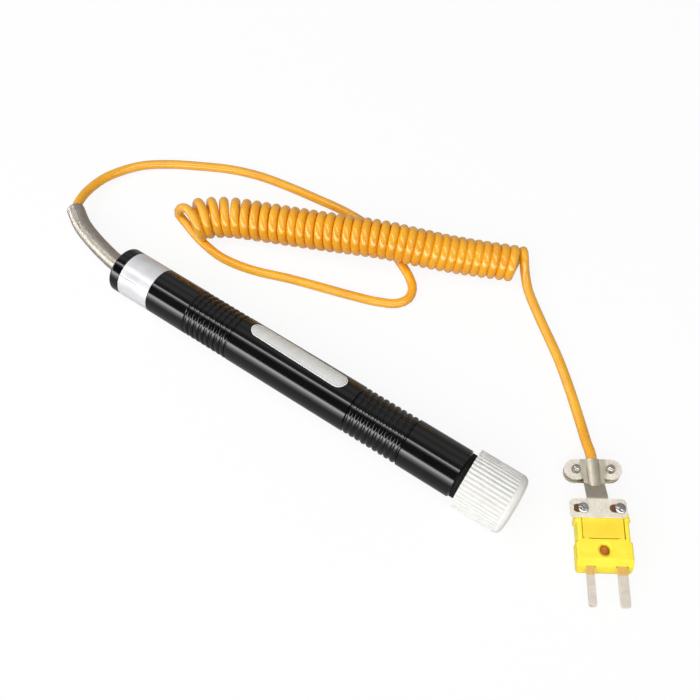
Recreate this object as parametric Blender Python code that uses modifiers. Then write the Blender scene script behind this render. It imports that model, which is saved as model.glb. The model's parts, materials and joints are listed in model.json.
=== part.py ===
"""A handheld surface thermocouple probe, as it lies on a table.

A round handle with a capped sensing head, a steel spring that relieves the cord, a curly cord, and a
flat two-blade miniature plug with a stamped steel cord clamp. Metres, +Z up. The handle's axis lies
over the X axis, cap towards +X, and the origin is under the middle of handle and cap, on the table.
"""

import math

import bmesh
import bpy
from mathutils import Matrix, Vector

MM = 0.001
SEAT = 0.15 * MM
GAP = 0.3 * MM

# Handle
HANDLE_RADIUS = 7.7 * MM
HANDLE_LENGTH = 128.4 * MM
HANDLE_WALL = 1.5 * MM
HANDLE_EDGE = 1.0 * MM
HANDLE_SIDES = 32
RING_PITCH = 2.05 * MM
RING_GROOVE = 0.85 * MM
RING_DEPTH = 0.5 * MM
REAR_RINGS = 8
REAR_RINGS_AT = 32.0 * MM
FRONT_RINGS = 9
FRONT_RINGS_AT = 92.7 * MM

# Foil labels on the handle
FOIL = 0.15 * MM
FOIL_GAP = 0.05 * MM
REAR_LABEL_AT = 4.1 * MM
REAR_LABEL_LENGTH = 11.7 * MM
GRIP_LABEL_LENGTH = 33.7 * MM
GRIP_LABEL_WIDTH = 7.4 * MM
GRIP_LABEL_TURN = math.radians(30.5)
GRIP_LABEL_SKEW = math.radians(1.3)

# Cord and what holds it in the handle
CORD_RADIUS = 1.5 * MM
CORD_STEP = 6.0 * MM
SPRING_RADIUS = 3.0 * MM
SPRING_WIRE = 1.0 * MM
SPRING_SEAT = 6.0 * MM
BUSH_LENGTH = 8.6 * MM
BUSH_INSET = 0.4 * MM
CRIMP_RING_LENGTH = 3.0 * MM
CRIMP_RING_WALL = 0.9 * MM
WIRE_RADIUS = 0.5 * MM
WIRE_SPREAD = 1.6 * MM
CORD_END_AT = 14.0 * MM
SPLICE_AT = 17.0 * MM
SPLICE_LENGTH = 6.0 * MM
SPLICE_WALL = 0.5 * MM

# Sensing head
NECK_RADIUS = 7.2 * MM
NECK_PLUG_LENGTH = 12.0 * MM
NECK_LENGTH = 7.2 * MM
NECK_BORE = 5.0 * MM
INSULATOR_LENGTH = 7.6 * MM
INSULATOR_SEAT = 5.6 * MM
INSULATOR_WALL = 1.3 * MM
POST_RADIUS = 0.8 * MM
POST_SPREAD = 3.9 * MM
POST_STAND = 0.8 * MM
POST_TAIL = 3.0 * MM
BAND_WIDTH = 3.0 * MM
BAND_THICKNESS = 0.3 * MM
BAND_RISE = 2.6 * MM

# Cap
CAP_RADIUS = 9.38 * MM
CAP_LENGTH = 17.8 * MM
CAP_STANDOFF = 1.8 * MM
CAP_DOME = 0.9 * MM
CAP_BEVEL_LENGTH = 3.3 * MM
CAP_BEVEL_DEPTH = 2.1 * MM
CAP_DOME_CURVE = (0.55, 0.3)
CAP_BEVEL_CURVE = [(0.5, 0.7), (0.17, 0.36)]
CAP_RIBS = 42
CAP_RIB_DEPTH = 0.32 * MM
CAP_RIB_STOP = 0.3 * MM
CAP_END_WALL = 1.5 * MM
CAP_SOCKET_DEPTH = 6.0 * MM
CAP_SIDE_WALL = 2.3 * MM
CAP_NOTCH = 1.1 * MM
CAP_NOTCH_TURN = math.radians(-24.0)

# Coil of the cord: outer radius at its ends
COIL_RADIUS_START = 6.65 * MM
COIL_RADIUS_END = 5.85 * MM
COIL_STEP = 8.0 * MM

# Plug body
PLUG_WIDTH = 15.8 * MM
PLUG_HEIGHT = 8.0 * MM
PLUG_FRONT = 5.5 * MM
PLUG_REAR = 14.2 * MM
PLUG_PARTING = 4.9 * MM
PLUG_WALL = 2.3 * MM
PLUG_TOP_EDGE = 0.7 * MM
PLUG_BOTTOM_EDGE = 1.2 * MM
PLUG_CORNER = 0.8 * MM
PLUG_FLOOR = 1.5 * MM
NOSE_LIP = 2.6 * MM
NOSE_LEAN = 3.1 * MM
NOSE_RISE = 1.2 * MM
FINGER_NOTCH = 0.5 * MM
FINGER_NOTCH_LENGTH = 6.0 * MM
FINGER_NOTCH_AT = 5.0 * MM
PANEL_LENGTH = 6.5 * MM
PANEL_AT = 6.35 * MM
PANEL_THICKNESS = 1.0 * MM
PANEL_LEDGE = 0.3 * MM
SHELL_HOLE = 1.5 * MM
SHELL_HOLE_FLARE = 0.6 * MM
SHELL_SCREW_HEAD = 2.2 * MM
SHELL_SCREW_SINK = 1.5 * MM
PLUG_AT = (99.95 * MM, 4.05 * MM)
PLUG_TURN = math.radians(30.3)
PLUG_ROLL = math.radians(8.1)

# Blades and their terminals
BLADE_THICKNESS = 0.8 * MM
BLADE_SPACING = 8.7 * MM
BLADE_SHIFT = 0.35 * MM
BLADE_REACH = 9.7 * MM
POSITIVE_BLADE_WIDTH = 2.4 * MM
NEGATIVE_BLADE_WIDTH = 3.2 * MM
BLADE_TIP = 0.7 * MM
BLADE_TAB_END = 8.4 * MM
TERMINAL_AT = 6.6 * MM
TERMINAL_INSET = 0.4 * MM
TERMINAL_RADIUS = 0.75 * MM
TERMINAL_HEAD = 1.0 * MM
TAIL_RADIUS = 0.4 * MM

# Cord clamp
SHEET = 0.8 * MM
CLAMP_SHIFT = -0.9 * MM
CLAMP_AT = 23.8 * MM
CLAMP_LENGTH = 16.6 * MM
CLAMP_DEPTH = 6.2 * MM
CLAMP_HEAD_HEIGHT = 1.1 * MM
CLAMP_SCREW_RADIUS = 1.2 * MM
CLAMP_SCREW_HEAD = 2.0 * MM
CLAMP_SCREW_SPACING = 9.8 * MM
CLAMP_SCREW_TOP = 1.4 * MM
CLAMP_SQUEEZE = 2.55 * MM
ARCH_GAP = 0.2 * MM
BAND_STRIP = 5.9 * MM
BAND_TAIL = 1.1 * MM
TONGUE_LEAN = 1.35
PLATE_WIDTH = 15.7 * MM
PLATE_DEPTH = 5.4 * MM
PLATE_AT = 11.45 * MM
PLATE_CORNER = 1.1 * MM
BRACKET_SCREW_RADIUS = 1.0 * MM
BRACKET_SCREW_HEAD = 1.45 * MM
BRACKET_SCREW_SPACING = 10.2 * MM
BRACKET_SCREW_CROWN = 0.9 * MM
CROSS_REACH = 0.9 * MM
CROSS_WIDTH = 0.46 * MM
CROSS_TURNS = (("left", -1, 15.0), ("right", 1, 55.0))
SLOT_TRAVEL = 1.7 * MM

# Where things meet along the handle, from its rear end
CAP_RIM_AT = HANDLE_LENGTH + CAP_STANDOFF
TOTAL_LENGTH = CAP_RIM_AT + CAP_LENGTH
NECK_END_AT = HANDLE_LENGTH + NECK_LENGTH
BORE_RADIUS = HANDLE_RADIUS - HANDLE_WALL
INSULATOR_AT = NECK_END_AT - INSULATOR_SEAT
INSULATOR_RADIUS = NECK_RADIUS - INSULATOR_WALL
INSULATOR_END_AT = INSULATOR_AT + INSULATOR_LENGTH
BAND_FOOT_AT = INSULATOR_END_AT + POST_STAND + SEAT
TILT = math.atan2(CAP_RADIUS - HANDLE_RADIUS, CAP_RIM_AT - HANDLE_EDGE)
REAR_X = -(TOTAL_LENGTH * math.cos(TILT) - (HANDLE_RADIUS - HANDLE_EDGE) * math.sin(TILT)) / 2
REAR_Z = HANDLE_RADIUS * math.cos(TILT) - HANDLE_EDGE * math.sin(TILT)

# The spring's centre line, from the centre of the handle's rear end
SPRING_ROUTE = [
    (-4.2 * MM, 0.3 * MM, 0.0),
    (-10.6 * MM, 1.5 * MM, -0.1 * MM),
    (-17.3 * MM, 3.2 * MM, -0.4 * MM),
    (-24.2 * MM, 5.6 * MM, -0.8 * MM),
    (-30.7 * MM, 9.3 * MM, -1.3 * MM),
]

# The cord from the spring's mouth to the coil
REAR_ROUTE = [
    (-107.0 * MM, 14.5 * MM, 5.7 * MM),
    (-108.1 * MM, 20.5 * MM, 4.4 * MM),
    (-107.6 * MM, 26.9 * MM, 3.2 * MM),
    (-105.2 * MM, 32.9 * MM, 2.3 * MM),
    (-101.3 * MM, 38.6 * MM, 1.8 * MM),
    (-93.1 * MM, 45.0 * MM, 1.55 * MM),
    (-83.2 * MM, 50.5 * MM, 1.55 * MM),
    (-73.4 * MM, 55.3 * MM, 1.55 * MM),
    (-62.7 * MM, 58.8 * MM, 1.55 * MM),
    (-50.9 * MM, 60.8 * MM, 1.55 * MM),
    (-38.8 * MM, 62.1 * MM, 1.55 * MM),
    (-27.1 * MM, 63.0 * MM, 1.55 * MM),
    (-18.8 * MM, 62.6 * MM, 1.55 * MM),
    (-9.0 * MM, 59.8 * MM, 1.55 * MM),
    (0.3 * MM, 55.6 * MM, 1.55 * MM),
    (5.4 * MM, 52.6 * MM, 1.55 * MM),
    (8.7 * MM, 49.4 * MM, 1.55 * MM),
    (9.6 * MM, 45.4 * MM, 1.55 * MM),
    (7.3 * MM, 41.6 * MM, 1.55 * MM),
    (2.7 * MM, 39.1 * MM, 1.55 * MM),
    (-7.3 * MM, 35.7 * MM, 1.55 * MM),
    (-17.8 * MM, 32.7 * MM, 1.55 * MM),
    (-29.1 * MM, 29.4 * MM, 1.55 * MM),
    (-39.3 * MM, 25.9 * MM, 1.55 * MM),
    (-48.0 * MM, 23.3 * MM, 1.55 * MM),
    (-54.4 * MM, 22.3 * MM, 1.55 * MM),
    (-60.2 * MM, 22.7 * MM, 1.55 * MM),
    (-65.8 * MM, 23.8 * MM, 1.7 * MM),
    (-70.6 * MM, 25.2 * MM, 3.0 * MM),
    (-73.6 * MM, 27.2 * MM, 5.2 * MM),
    (-72.0 * MM, 28.2 * MM, 7.2 * MM),
    (-68.4 * MM, 28.8 * MM, 7.2 * MM),
]

# The coil's centre line, which rises over the cord that passes under it
COIL_ROUTE = [
    (-64.5 * MM, 31.2 * MM, 6.95 * MM),
    (-58.6 * MM, 35.2 * MM, 6.95 * MM),
    (-45.7 * MM, 41.0 * MM, 7.2 * MM),
    (-36.4 * MM, 44.6 * MM, 7.9 * MM),
    (-27.1 * MM, 48.0 * MM, 8.7 * MM),
    (-16.7 * MM, 52.0 * MM, 9.6 * MM),
    (-6.5 * MM, 56.1 * MM, 9.95 * MM),
    (3.6 * MM, 60.2 * MM, 9.0 * MM),
    (13.6 * MM, 64.7 * MM, 7.6 * MM),
    (23.5 * MM, 69.5 * MM, 6.4 * MM),
    (30.0 * MM, 72.6 * MM, 6.0 * MM),
    (36.4 * MM, 75.4 * MM, 5.95 * MM),
]

# The cord from the coil to the clamp
FRONT_ROUTE = [
    (39.5 * MM, 75.0 * MM, 5.0 * MM),
    (41.1 * MM, 73.0 * MM, 3.3 * MM),
    (42.6 * MM, 70.3 * MM, 1.9 * MM),
    (45.7 * MM, 67.0 * MM, 1.55 * MM),
    (50.8 * MM, 62.1 * MM, 1.55 * MM),
    (62.1 * MM, 52.6 * MM, 1.55 * MM),
    (70.8 * MM, 44.0 * MM, 1.6 * MM),
    (75.7 * MM, 38.6 * MM, 2.0 * MM),
    (79.1 * MM, 34.5 * MM, 2.8 * MM),
    (81.7 * MM, 31.1 * MM, 3.8 * MM),
]

PARTS = "thermocouple_probe"
CUTTERS = "cutters"


def clear_scene():
    """Remove the objects and collections that the file holds, then add the two collections used here."""
    for obj in list(bpy.data.objects):
        bpy.data.objects.remove(obj, do_unlink=True)
    for collection in list(bpy.data.collections):
        bpy.data.collections.remove(collection)
    for name in (PARTS, CUTTERS):
        bpy.context.scene.collection.children.link(bpy.data.collections.new(name))


def finish(name, colour, roughness, metallic=0.0):
    """A Principled material for one sub-part."""
    material = bpy.data.materials.new(name)
    material.use_nodes = True
    shader = material.node_tree.nodes["Principled BSDF"]
    shader.inputs["Base Color"].default_value = (*colour, 1.0)
    shader.inputs["Roughness"].default_value = roughness
    shader.inputs["Metallic"].default_value = metallic
    material.diffuse_color = (*colour, 1.0)
    return material


def add_object(name, data, parent=None, material=None):
    """Link new data as an object, into the parts' collection or, with no material, the cutters'."""
    obj = bpy.data.objects.new(name, data)
    obj.parent = parent
    bpy.data.collections[PARTS if material else CUTTERS].objects.link(obj)
    if material:
        data.materials.append(material)
    else:
        obj.hide_render = True
        obj.display_type = "WIRE"
    return obj


def add_empty(name, matrix):
    """An empty that carries the parts of one assembly."""
    empty = bpy.data.objects.new(name, None)
    empty.matrix_world = matrix
    bpy.data.collections[PARTS].objects.link(empty)
    return empty


def arc(centre, radius, start, end, steps):
    """Points on an arc from one angle to another, in degrees."""
    points = []
    for step in range(steps + 1):
        angle = math.radians(start + (end - start) * step / steps)
        points.append((centre[0] + radius * math.cos(angle), centre[1] + radius * math.sin(angle)))
    return points


def stadium(length, width, steps=8):
    """A slot-shaped outline along X."""
    radius = width / 2
    reach = length / 2 - radius
    return arc((reach, 0), radius, -90, 90, steps) + arc((-reach, 0), radius, 90, 270, steps)


def rounded_box(left, right, front, rear, radius, steps=3):
    """A rectangle's outline with round corners."""
    points = arc((right - radius, front + radius), radius, -90, 0, steps)
    points += arc((right - radius, rear - radius), radius, 0, 90, steps)
    points += arc((left + radius, rear - radius), radius, 90, 180, steps)
    points += arc((left + radius, front + radius), radius, 180, 270, steps)
    return points


def box_outline(left, right, front, rear):
    """A plain rectangle's outline."""
    return [(left, front), (right, front), (right, rear), (left, rear)]


def turned(name, profile, sides, parent=None, material=None, ring=False, place=None):
    """A turned piece: its profile of (radius, height) points goes down the outer side."""
    mesh = bpy.data.meshes.new(name)
    edges = [(i, i + 1) for i in range(len(profile) - 1)]
    if ring:
        edges.append((len(profile) - 1, 0))
    mesh.from_pydata([(radius, 0, height) for radius, height in profile], edges, [])
    obj = add_object(name, mesh, parent, material)
    if place:
        obj.matrix_local = place
    screw = obj.modifiers.new("turn", "SCREW")
    screw.steps = sides
    screw.render_steps = sides
    screw.use_merge_vertices = True
    screw.merge_threshold = 0.000001
    screw.use_smooth_shade = False
    return obj


def curve_mesh(name, curve):
    """The closed mesh of a curve, with its caps welded."""
    holder = bpy.data.objects.new(name + "_outline", curve)
    bpy.context.scene.collection.objects.link(holder)
    depsgraph = bpy.context.evaluated_depsgraph_get()
    mesh = bpy.data.meshes.new_from_object(holder.evaluated_get(depsgraph))
    bpy.data.objects.remove(holder)
    edit = bmesh.new()
    edit.from_mesh(mesh)
    bmesh.ops.remove_doubles(edit, verts=edit.verts, dist=0.000001)
    edit.to_mesh(mesh)
    edit.free()
    return mesh


def prism(name, outlines, low, high, parent=None, material=None, place=None):
    """A flat outline, with any holes, made solid between two heights."""
    curve = bpy.data.curves.new(name, "CURVE")
    curve.dimensions = "2D"
    curve.fill_mode = "BOTH"
    curve.extrude = (high - low) / 2
    for outline in outlines:
        spline = curve.splines.new("POLY")
        spline.points.add(len(outline) - 1)
        for point, (x, y) in zip(spline.points, outline):
            point.co = (x, y, 0, 1)
        spline.use_cyclic_u = True
    mesh = curve_mesh(name, curve)
    mesh.transform(Matrix.Translation((0, 0, (low + high) / 2)))
    obj = add_object(name, mesh, parent, material)
    if place:
        obj.matrix_local = place
    return obj


def combine(target, operation, *others):
    """Cut a part with others, join them to it, or keep what they share."""
    for other in others:
        modifier = target.modifiers.new(operation.lower(), "BOOLEAN")
        modifier.operation = operation
        modifier.object = other
        modifier.solver = "EXACT"
    return target


def smooth_path(route, spacing, radii=None):
    """Evenly spaced points along a smooth curve through the route's points, with radii if given."""
    points = [Vector(point) for point in route]
    values = radii or [1.0] * len(points)
    tangents = []
    for i, point in enumerate(points):
        before = point - points[i - 1] if i else None
        after = points[i + 1] - point if i < len(points) - 1 else None
        if before is None or after is None:
            tangents.append((after or before).normalized())
            continue
        mixed = before / before.length * after.length + after / after.length * before.length
        tangents.append(mixed / (before.length + after.length))
    fine = []
    for i in range(len(points) - 1):
        length = (points[i + 1] - points[i]).length
        for step in range(24):
            t = step / 24
            place = points[i] * (2 * t**3 - 3 * t**2 + 1) + points[i + 1] * (3 * t**2 - 2 * t**3)
            place += tangents[i] * length * (t**3 - 2 * t**2 + t)
            place += tangents[i + 1] * length * (t**3 - t**2)
            fine.append((place, values[i] + (values[i + 1] - values[i]) * t))
    fine.append((points[-1], values[-1]))
    travel = [0.0]
    for (a, _), (b, _) in zip(fine, fine[1:]):
        travel.append(travel[-1] + (b - a).length)
    count = max(2, round(travel[-1] / spacing))
    result = []
    k = 0
    for i in range(count + 1):
        want = travel[-1] * i / count
        while k < len(travel) - 2 and travel[k + 1] < want:
            k += 1
        share = (want - travel[k]) / (travel[k + 1] - travel[k])
        place = fine[k][0].lerp(fine[k + 1][0], share)
        result.append((place, fine[k][1] + (fine[k + 1][1] - fine[k][1]) * share))
    return result


def tube_curve(name, path, radius, resolution=2, caps=True):
    """A round tube along a path of (point, radius factor) pairs."""
    curve = bpy.data.curves.new(name, "CURVE")
    curve.dimensions = "3D"
    curve.bevel_depth = radius
    curve.bevel_resolution = resolution
    curve.use_fill_caps = caps
    spline = curve.splines.new("POLY")
    spline.points.add(len(path) - 1)
    for point, (place, factor) in zip(spline.points, path):
        point.co = (*place, 1)
        point.radius = factor
    return curve


def handle_frame():
    """Rear end of the handle: local Z runs along the handle's axis, local -X is up."""
    return Matrix.Translation((REAR_X, 0, REAR_Z)) @ Matrix.Rotation(math.pi / 2 - TILT, 4, "Y")


def ring_profile(first, count):
    """The grip rings' outline, from the cap's end to the rear: one groove more than ridges."""
    points = []
    for i in reversed(range(count + 1)):
        centre = first + (i - 0.5) * RING_PITCH
        points.append((HANDLE_RADIUS, centre + RING_GROOVE / 2))
        points.append((HANDLE_RADIUS - RING_DEPTH, centre))
        points.append((HANDLE_RADIUS, centre - RING_GROOVE / 2))
    return points


def make_handle(frame):
    """The black tube, its two labels and the bush in its rear end."""
    label_end = REAR_LABEL_AT + REAR_LABEL_LENGTH
    recess = HANDLE_RADIUS - FOIL - 2 * FOIL_GAP
    profile = [(HANDLE_RADIUS - GAP, HANDLE_LENGTH), (HANDLE_RADIUS, HANDLE_LENGTH - GAP)]
    profile += ring_profile(FRONT_RINGS_AT, FRONT_RINGS)
    profile += ring_profile(REAR_RINGS_AT, REAR_RINGS)
    profile += [(HANDLE_RADIUS, label_end + SEAT), (recess, label_end + SEAT)]
    profile += [(recess, REAR_LABEL_AT - SEAT), (HANDLE_RADIUS, REAR_LABEL_AT - SEAT)]
    edge = arc((HANDLE_RADIUS - HANDLE_EDGE, HANDLE_EDGE), HANDLE_EDGE, 0, -90, 3)
    profile += edge + [(BORE_RADIUS, 0), (BORE_RADIUS, HANDLE_LENGTH)]
    black = finish("handle_black", (0.012, 0.012, 0.013), 0.2)
    turned("handle_grip", profile, HANDLE_SIDES, frame, black, ring=True)

    foil_outer = HANDLE_RADIUS - FOIL_GAP
    foil_inner = foil_outer - FOIL
    band = [(foil_outer, label_end), (foil_outer, REAR_LABEL_AT)]
    band += [(foil_inner, REAR_LABEL_AT), (foil_inner, label_end)]
    silver = finish("rear_label_silver", (0.78, 0.78, 0.79), 0.28, 0.6)
    turned("rear_label", band, HANDLE_SIDES, frame, silver, ring=True)

    rear_rings_end = REAR_RINGS_AT + (REAR_RINGS - 0.5) * RING_PITCH
    front_rings_start = FRONT_RINGS_AT - 0.5 * RING_PITCH
    label_middle = (rear_rings_end + front_rings_start) / 2
    plate_inner = HANDLE_RADIUS + FOIL_GAP
    plate_outer = plate_inner + FOIL
    reach = GRIP_LABEL_LENGTH
    shell = [(plate_outer, label_middle + reach), (plate_outer, label_middle - reach)]
    shell += [(plate_inner, label_middle - reach), (plate_inner, label_middle + reach)]
    pale = finish("grip_label_silver", (0.72, 0.73, 0.72), 0.3, 0.5)
    plate = turned("grip_label", shell, HANDLE_SIDES, frame, pale, ring=True)
    outward = Vector((-math.cos(GRIP_LABEL_TURN), math.sin(GRIP_LABEL_TURN), 0))
    along = Vector((0, 0, 1))
    place = Matrix((along, outward.cross(along), outward)).transposed().to_4x4()
    place = Matrix.Translation((0, 0, label_middle)) @ place @ Matrix.Rotation(-GRIP_LABEL_SKEW, 4, "Z")
    outline = [stadium(GRIP_LABEL_LENGTH, GRIP_LABEL_WIDTH)]
    low, high = HANDLE_RADIUS / 2, HANDLE_RADIUS * 1.5
    cutter = prism("grip_label_outline", outline, low, high, frame, place=place)
    combine(plate, "INTERSECT", cutter)

    bush_outer = BORE_RADIUS - SEAT
    bush_end = BUSH_INSET + BUSH_LENGTH
    bush = [(bush_outer, bush_end), (bush_outer, BUSH_INSET + GAP), (bush_outer - GAP, BUSH_INSET)]
    bush += [(SPRING_RADIUS + GAP, BUSH_INSET), (SPRING_RADIUS + GAP, SPRING_SEAT)]
    bush += [(CORD_RADIUS + GAP, SPRING_SEAT), (CORD_RADIUS + GAP, bush_end)]
    black_bush = finish("bush_black", (0.015, 0.015, 0.016), 0.4)
    turned("rear_bush", bush, 24, frame, black_bush, ring=True)


def axis_point(distance):
    """A point on the handle's axis, in the part's frame."""
    return Vector((REAR_X + distance * math.cos(TILT), 0, REAR_Z + distance * math.sin(TILT)))


def spring_points():
    """The spring's centre line in the part's frame, from its seat in the bush."""
    rear = axis_point(0)
    return [axis_point(SPRING_SEAT - SEAT), rear] + [rear + Vector(offset) for offset in SPRING_ROUTE]


def make_cord_entry(frame):
    """The strain relief spring, the crimp ring, and the splices to the inner wires."""
    steel = finish("spring_steel", (0.55, 0.52, 0.48), 0.3, 1.0)
    path = smooth_path(spring_points(), 3.5 * MM)
    mesh = curve_mesh("strain_relief", tube_curve("spring", path, SPRING_RADIUS, 4, caps=False))
    spring = add_object("strain_relief", mesh, None, steel)
    wall = spring.modifiers.new("wall", "SOLIDIFY")
    wall.thickness = SPRING_WIRE
    wall.offset = -1
    wall.use_even_offset = True

    brass = finish("crimp_brass", (0.6, 0.42, 0.18), 0.35, 1.0)
    ring_start = BUSH_INSET + BUSH_LENGTH + SEAT
    ring_end = ring_start + CRIMP_RING_LENGTH
    ring_inner = CORD_RADIUS + SEAT
    ring_outer = ring_inner + CRIMP_RING_WALL
    ring = [(ring_outer, ring_end), (ring_outer, ring_start)]
    ring += [(ring_inner, ring_start), (ring_inner, ring_end)]
    turned("cord_ring", ring, 16, frame, brass, ring=True)

    yellow_wire = finish("wire_yellow", (0.75, 0.55, 0.03), 0.5)
    red_wire = finish("wire_red", (0.5, 0.02, 0.02), 0.5)
    tin = finish("splice_tin", (0.7, 0.7, 0.7), 0.35, 1.0)
    bore = WIRE_RADIUS + SEAT
    outer = bore + SPLICE_WALL
    splice_end = SPLICE_AT + SPLICE_LENGTH
    barrel = [(outer, splice_end), (outer, SPLICE_AT), (bore, SPLICE_AT), (bore, splice_end)]
    lead_end = INSULATOR_AT - POST_TAIL - SEAT
    middle = (SPLICE_AT + splice_end) / 2
    for polarity, side, wire in (("positive", -1, yellow_wire), ("negative", 1, red_wire)):
        place = Matrix.Translation((0, side * WIRE_SPREAD, 0))
        turned("splice_" + polarity, barrel, 12, frame, tin, ring=True, place=place)
        y = side * WIRE_SPREAD
        start_y = side * CORD_RADIUS / 2
        tail = [(0, start_y, CORD_END_AT + SEAT), (0, (start_y + y) / 2, (CORD_END_AT + SPLICE_AT) / 2)]
        tail += [(0, y, SPLICE_AT), (0, y, middle - GAP)]
        add_object(
            "cord_tail_" + polarity,
            tube_curve("cord_tail", [(Vector(p), 1.0) for p in tail], WIRE_RADIUS, 1),
            frame,
            wire,
        )
        post_y = side * POST_SPREAD
        lead = [(0, y, middle + GAP), (0, y, splice_end + GAP), (0, y, lead_end - 3 * POST_SPREAD)]
        lead += [(0, post_y, lead_end - POST_SPREAD), (0, post_y, lead_end)]
        add_object(
            "lead_" + polarity,
            tube_curve("lead", [(Vector(p), 1.0) for p in lead], WIRE_RADIUS, 1),
            frame,
            wire,
        )


def make_head(frame):
    """Collar, insulator, posts and the arched sensing band."""
    neck_start = HANDLE_LENGTH - NECK_PLUG_LENGTH
    plug_radius = BORE_RADIUS - SEAT
    seat_radius = INSULATOR_RADIUS + SEAT
    profile = [(NECK_RADIUS - GAP, NECK_END_AT), (NECK_RADIUS, NECK_END_AT - GAP)]
    profile += [(NECK_RADIUS, HANDLE_LENGTH + SEAT), (plug_radius, HANDLE_LENGTH + SEAT)]
    profile += [(plug_radius, neck_start), (NECK_BORE, neck_start)]
    profile += [(NECK_BORE, INSULATOR_AT - SEAT), (seat_radius, INSULATOR_AT - SEAT)]
    profile += [(seat_radius, NECK_END_AT)]
    grey = finish("neck_grey", (0.06, 0.06, 0.065), 0.35, 0.8)
    turned("sensor_neck", profile, HANDLE_SIDES, frame, grey, ring=True)

    ceramic = finish("ceramic_white", (0.8, 0.78, 0.74), 0.45)
    body = [(0, INSULATOR_END_AT), (INSULATOR_RADIUS - GAP, INSULATOR_END_AT)]
    body += [(INSULATOR_RADIUS, INSULATOR_END_AT - GAP), (INSULATOR_RADIUS, INSULATOR_AT)]
    body.append((0, INSULATOR_AT))
    insulator = turned("insulator", body, 32, frame, ceramic)
    hole = POST_RADIUS + SEAT
    cut = [(0, INSULATOR_END_AT + GAP), (hole, INSULATOR_END_AT + GAP), (hole, INSULATOR_AT - GAP)]
    cut += [(0, INSULATOR_AT - GAP)]
    post = [(0, INSULATOR_END_AT + POST_STAND), (POST_RADIUS, INSULATOR_END_AT + POST_STAND)]
    post += [(POST_RADIUS, INSULATOR_AT - POST_TAIL), (0, INSULATOR_AT - POST_TAIL)]
    metal = finish("post_metal", (0.6, 0.58, 0.54), 0.3, 1.0)
    for polarity, side in (("positive", -1), ("negative", 1)):
        place = Matrix.Translation((0, side * POST_SPREAD, 0))
        combine(insulator, "DIFFERENCE", turned("post_hole_" + polarity, cut, 12, frame, place=place))
        turned("post_" + polarity, post, 12, frame, metal, place=place)

    half_chord = POST_SPREAD + POST_RADIUS
    radius = (half_chord**2 + BAND_RISE**2) / (2 * BAND_RISE)
    sweep = math.degrees(math.asin(half_chord / radius))
    if BAND_RISE > half_chord:
        sweep = 180 - sweep
    outer = arc((0, 0), radius, 90 + sweep, 90 - sweep, 12)
    inner = arc((0, 0), radius - BAND_THICKNESS, 90 - sweep, 90 + sweep, 12)
    strip = finish("band_alloy", (0.66, 0.62, 0.56), 0.25, 1.0)
    centre = BAND_FOOT_AT + BAND_RISE - radius
    flat = Matrix((Vector((0, 1, 0)), Vector((0, 0, 1)), Vector((1, 0, 0)))).transposed().to_4x4()
    place = Matrix.Translation((0, 0, centre)) @ flat
    prism("sensing_band", [outer + inner], -BAND_WIDTH / 2, BAND_WIDTH / 2, frame, strip, place)


def make_cap(frame):
    """The ribbed push-on cap: a turned cup whose side is fluted up to a smooth front ring."""
    front = TOTAL_LENGTH - CAP_DOME
    shoulder = front - CAP_BEVEL_LENGTH
    face = CAP_RADIUS - CAP_BEVEL_DEPTH
    out, fall = CAP_DOME_CURVE
    profile = [(0, TOTAL_LENGTH), (face * out, TOTAL_LENGTH - CAP_DOME * fall), (face, front)]
    for depth, rise in CAP_BEVEL_CURVE:
        profile.append((CAP_RADIUS - CAP_BEVEL_DEPTH * depth, shoulder + CAP_BEVEL_LENGTH * rise))
    profile.append((CAP_RADIUS, shoulder))
    socket = NECK_RADIUS + GAP
    room = CAP_RADIUS - CAP_SIDE_WALL
    profile += [(CAP_RADIUS, CAP_RIM_AT), (socket, CAP_RIM_AT), (socket, CAP_RIM_AT + CAP_SOCKET_DEPTH)]
    profile += [(room, CAP_RIM_AT + CAP_SOCKET_DEPTH), (room, front - CAP_END_WALL)]
    profile += [(room - CAP_END_WALL / 2, TOTAL_LENGTH - CAP_END_WALL), (0, TOTAL_LENGTH - CAP_END_WALL)]
    frosted = finish("cap_frosted", (0.82, 0.81, 0.77), 0.45)
    cap = turned("protective_cap", profile, 2 * CAP_RIBS, frame, frosted)
    flutes = []
    for i in range(2 * CAP_RIBS):
        radius = CAP_RADIUS + CAP_RIB_DEPTH / 3 if i % 2 == 0 else CAP_RADIUS - CAP_RIB_DEPTH
        angle = math.pi * i / CAP_RIBS
        flutes.append((radius * math.cos(angle), radius * math.sin(angle)))
    ring = [arc((0, 0), CAP_RADIUS * 1.2, 0, 354, 59), flutes]
    stop = shoulder - CAP_RIB_STOP
    combine(cap, "DIFFERENCE", prism("cap_flutes", ring, CAP_RIM_AT - GAP, stop, frame))
    notch = box_outline(-2 * CAP_RADIUS, -socket + GAP, -CAP_NOTCH / 2, CAP_NOTCH / 2)
    turn = Matrix.Rotation(-CAP_NOTCH_TURN, 4, "Z")
    low, high = CAP_RIM_AT - GAP, CAP_RIM_AT + CAP_NOTCH
    combine(cap, "DIFFERENCE", prism("cap_notch", [notch], low, high, frame, place=turn))


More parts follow.
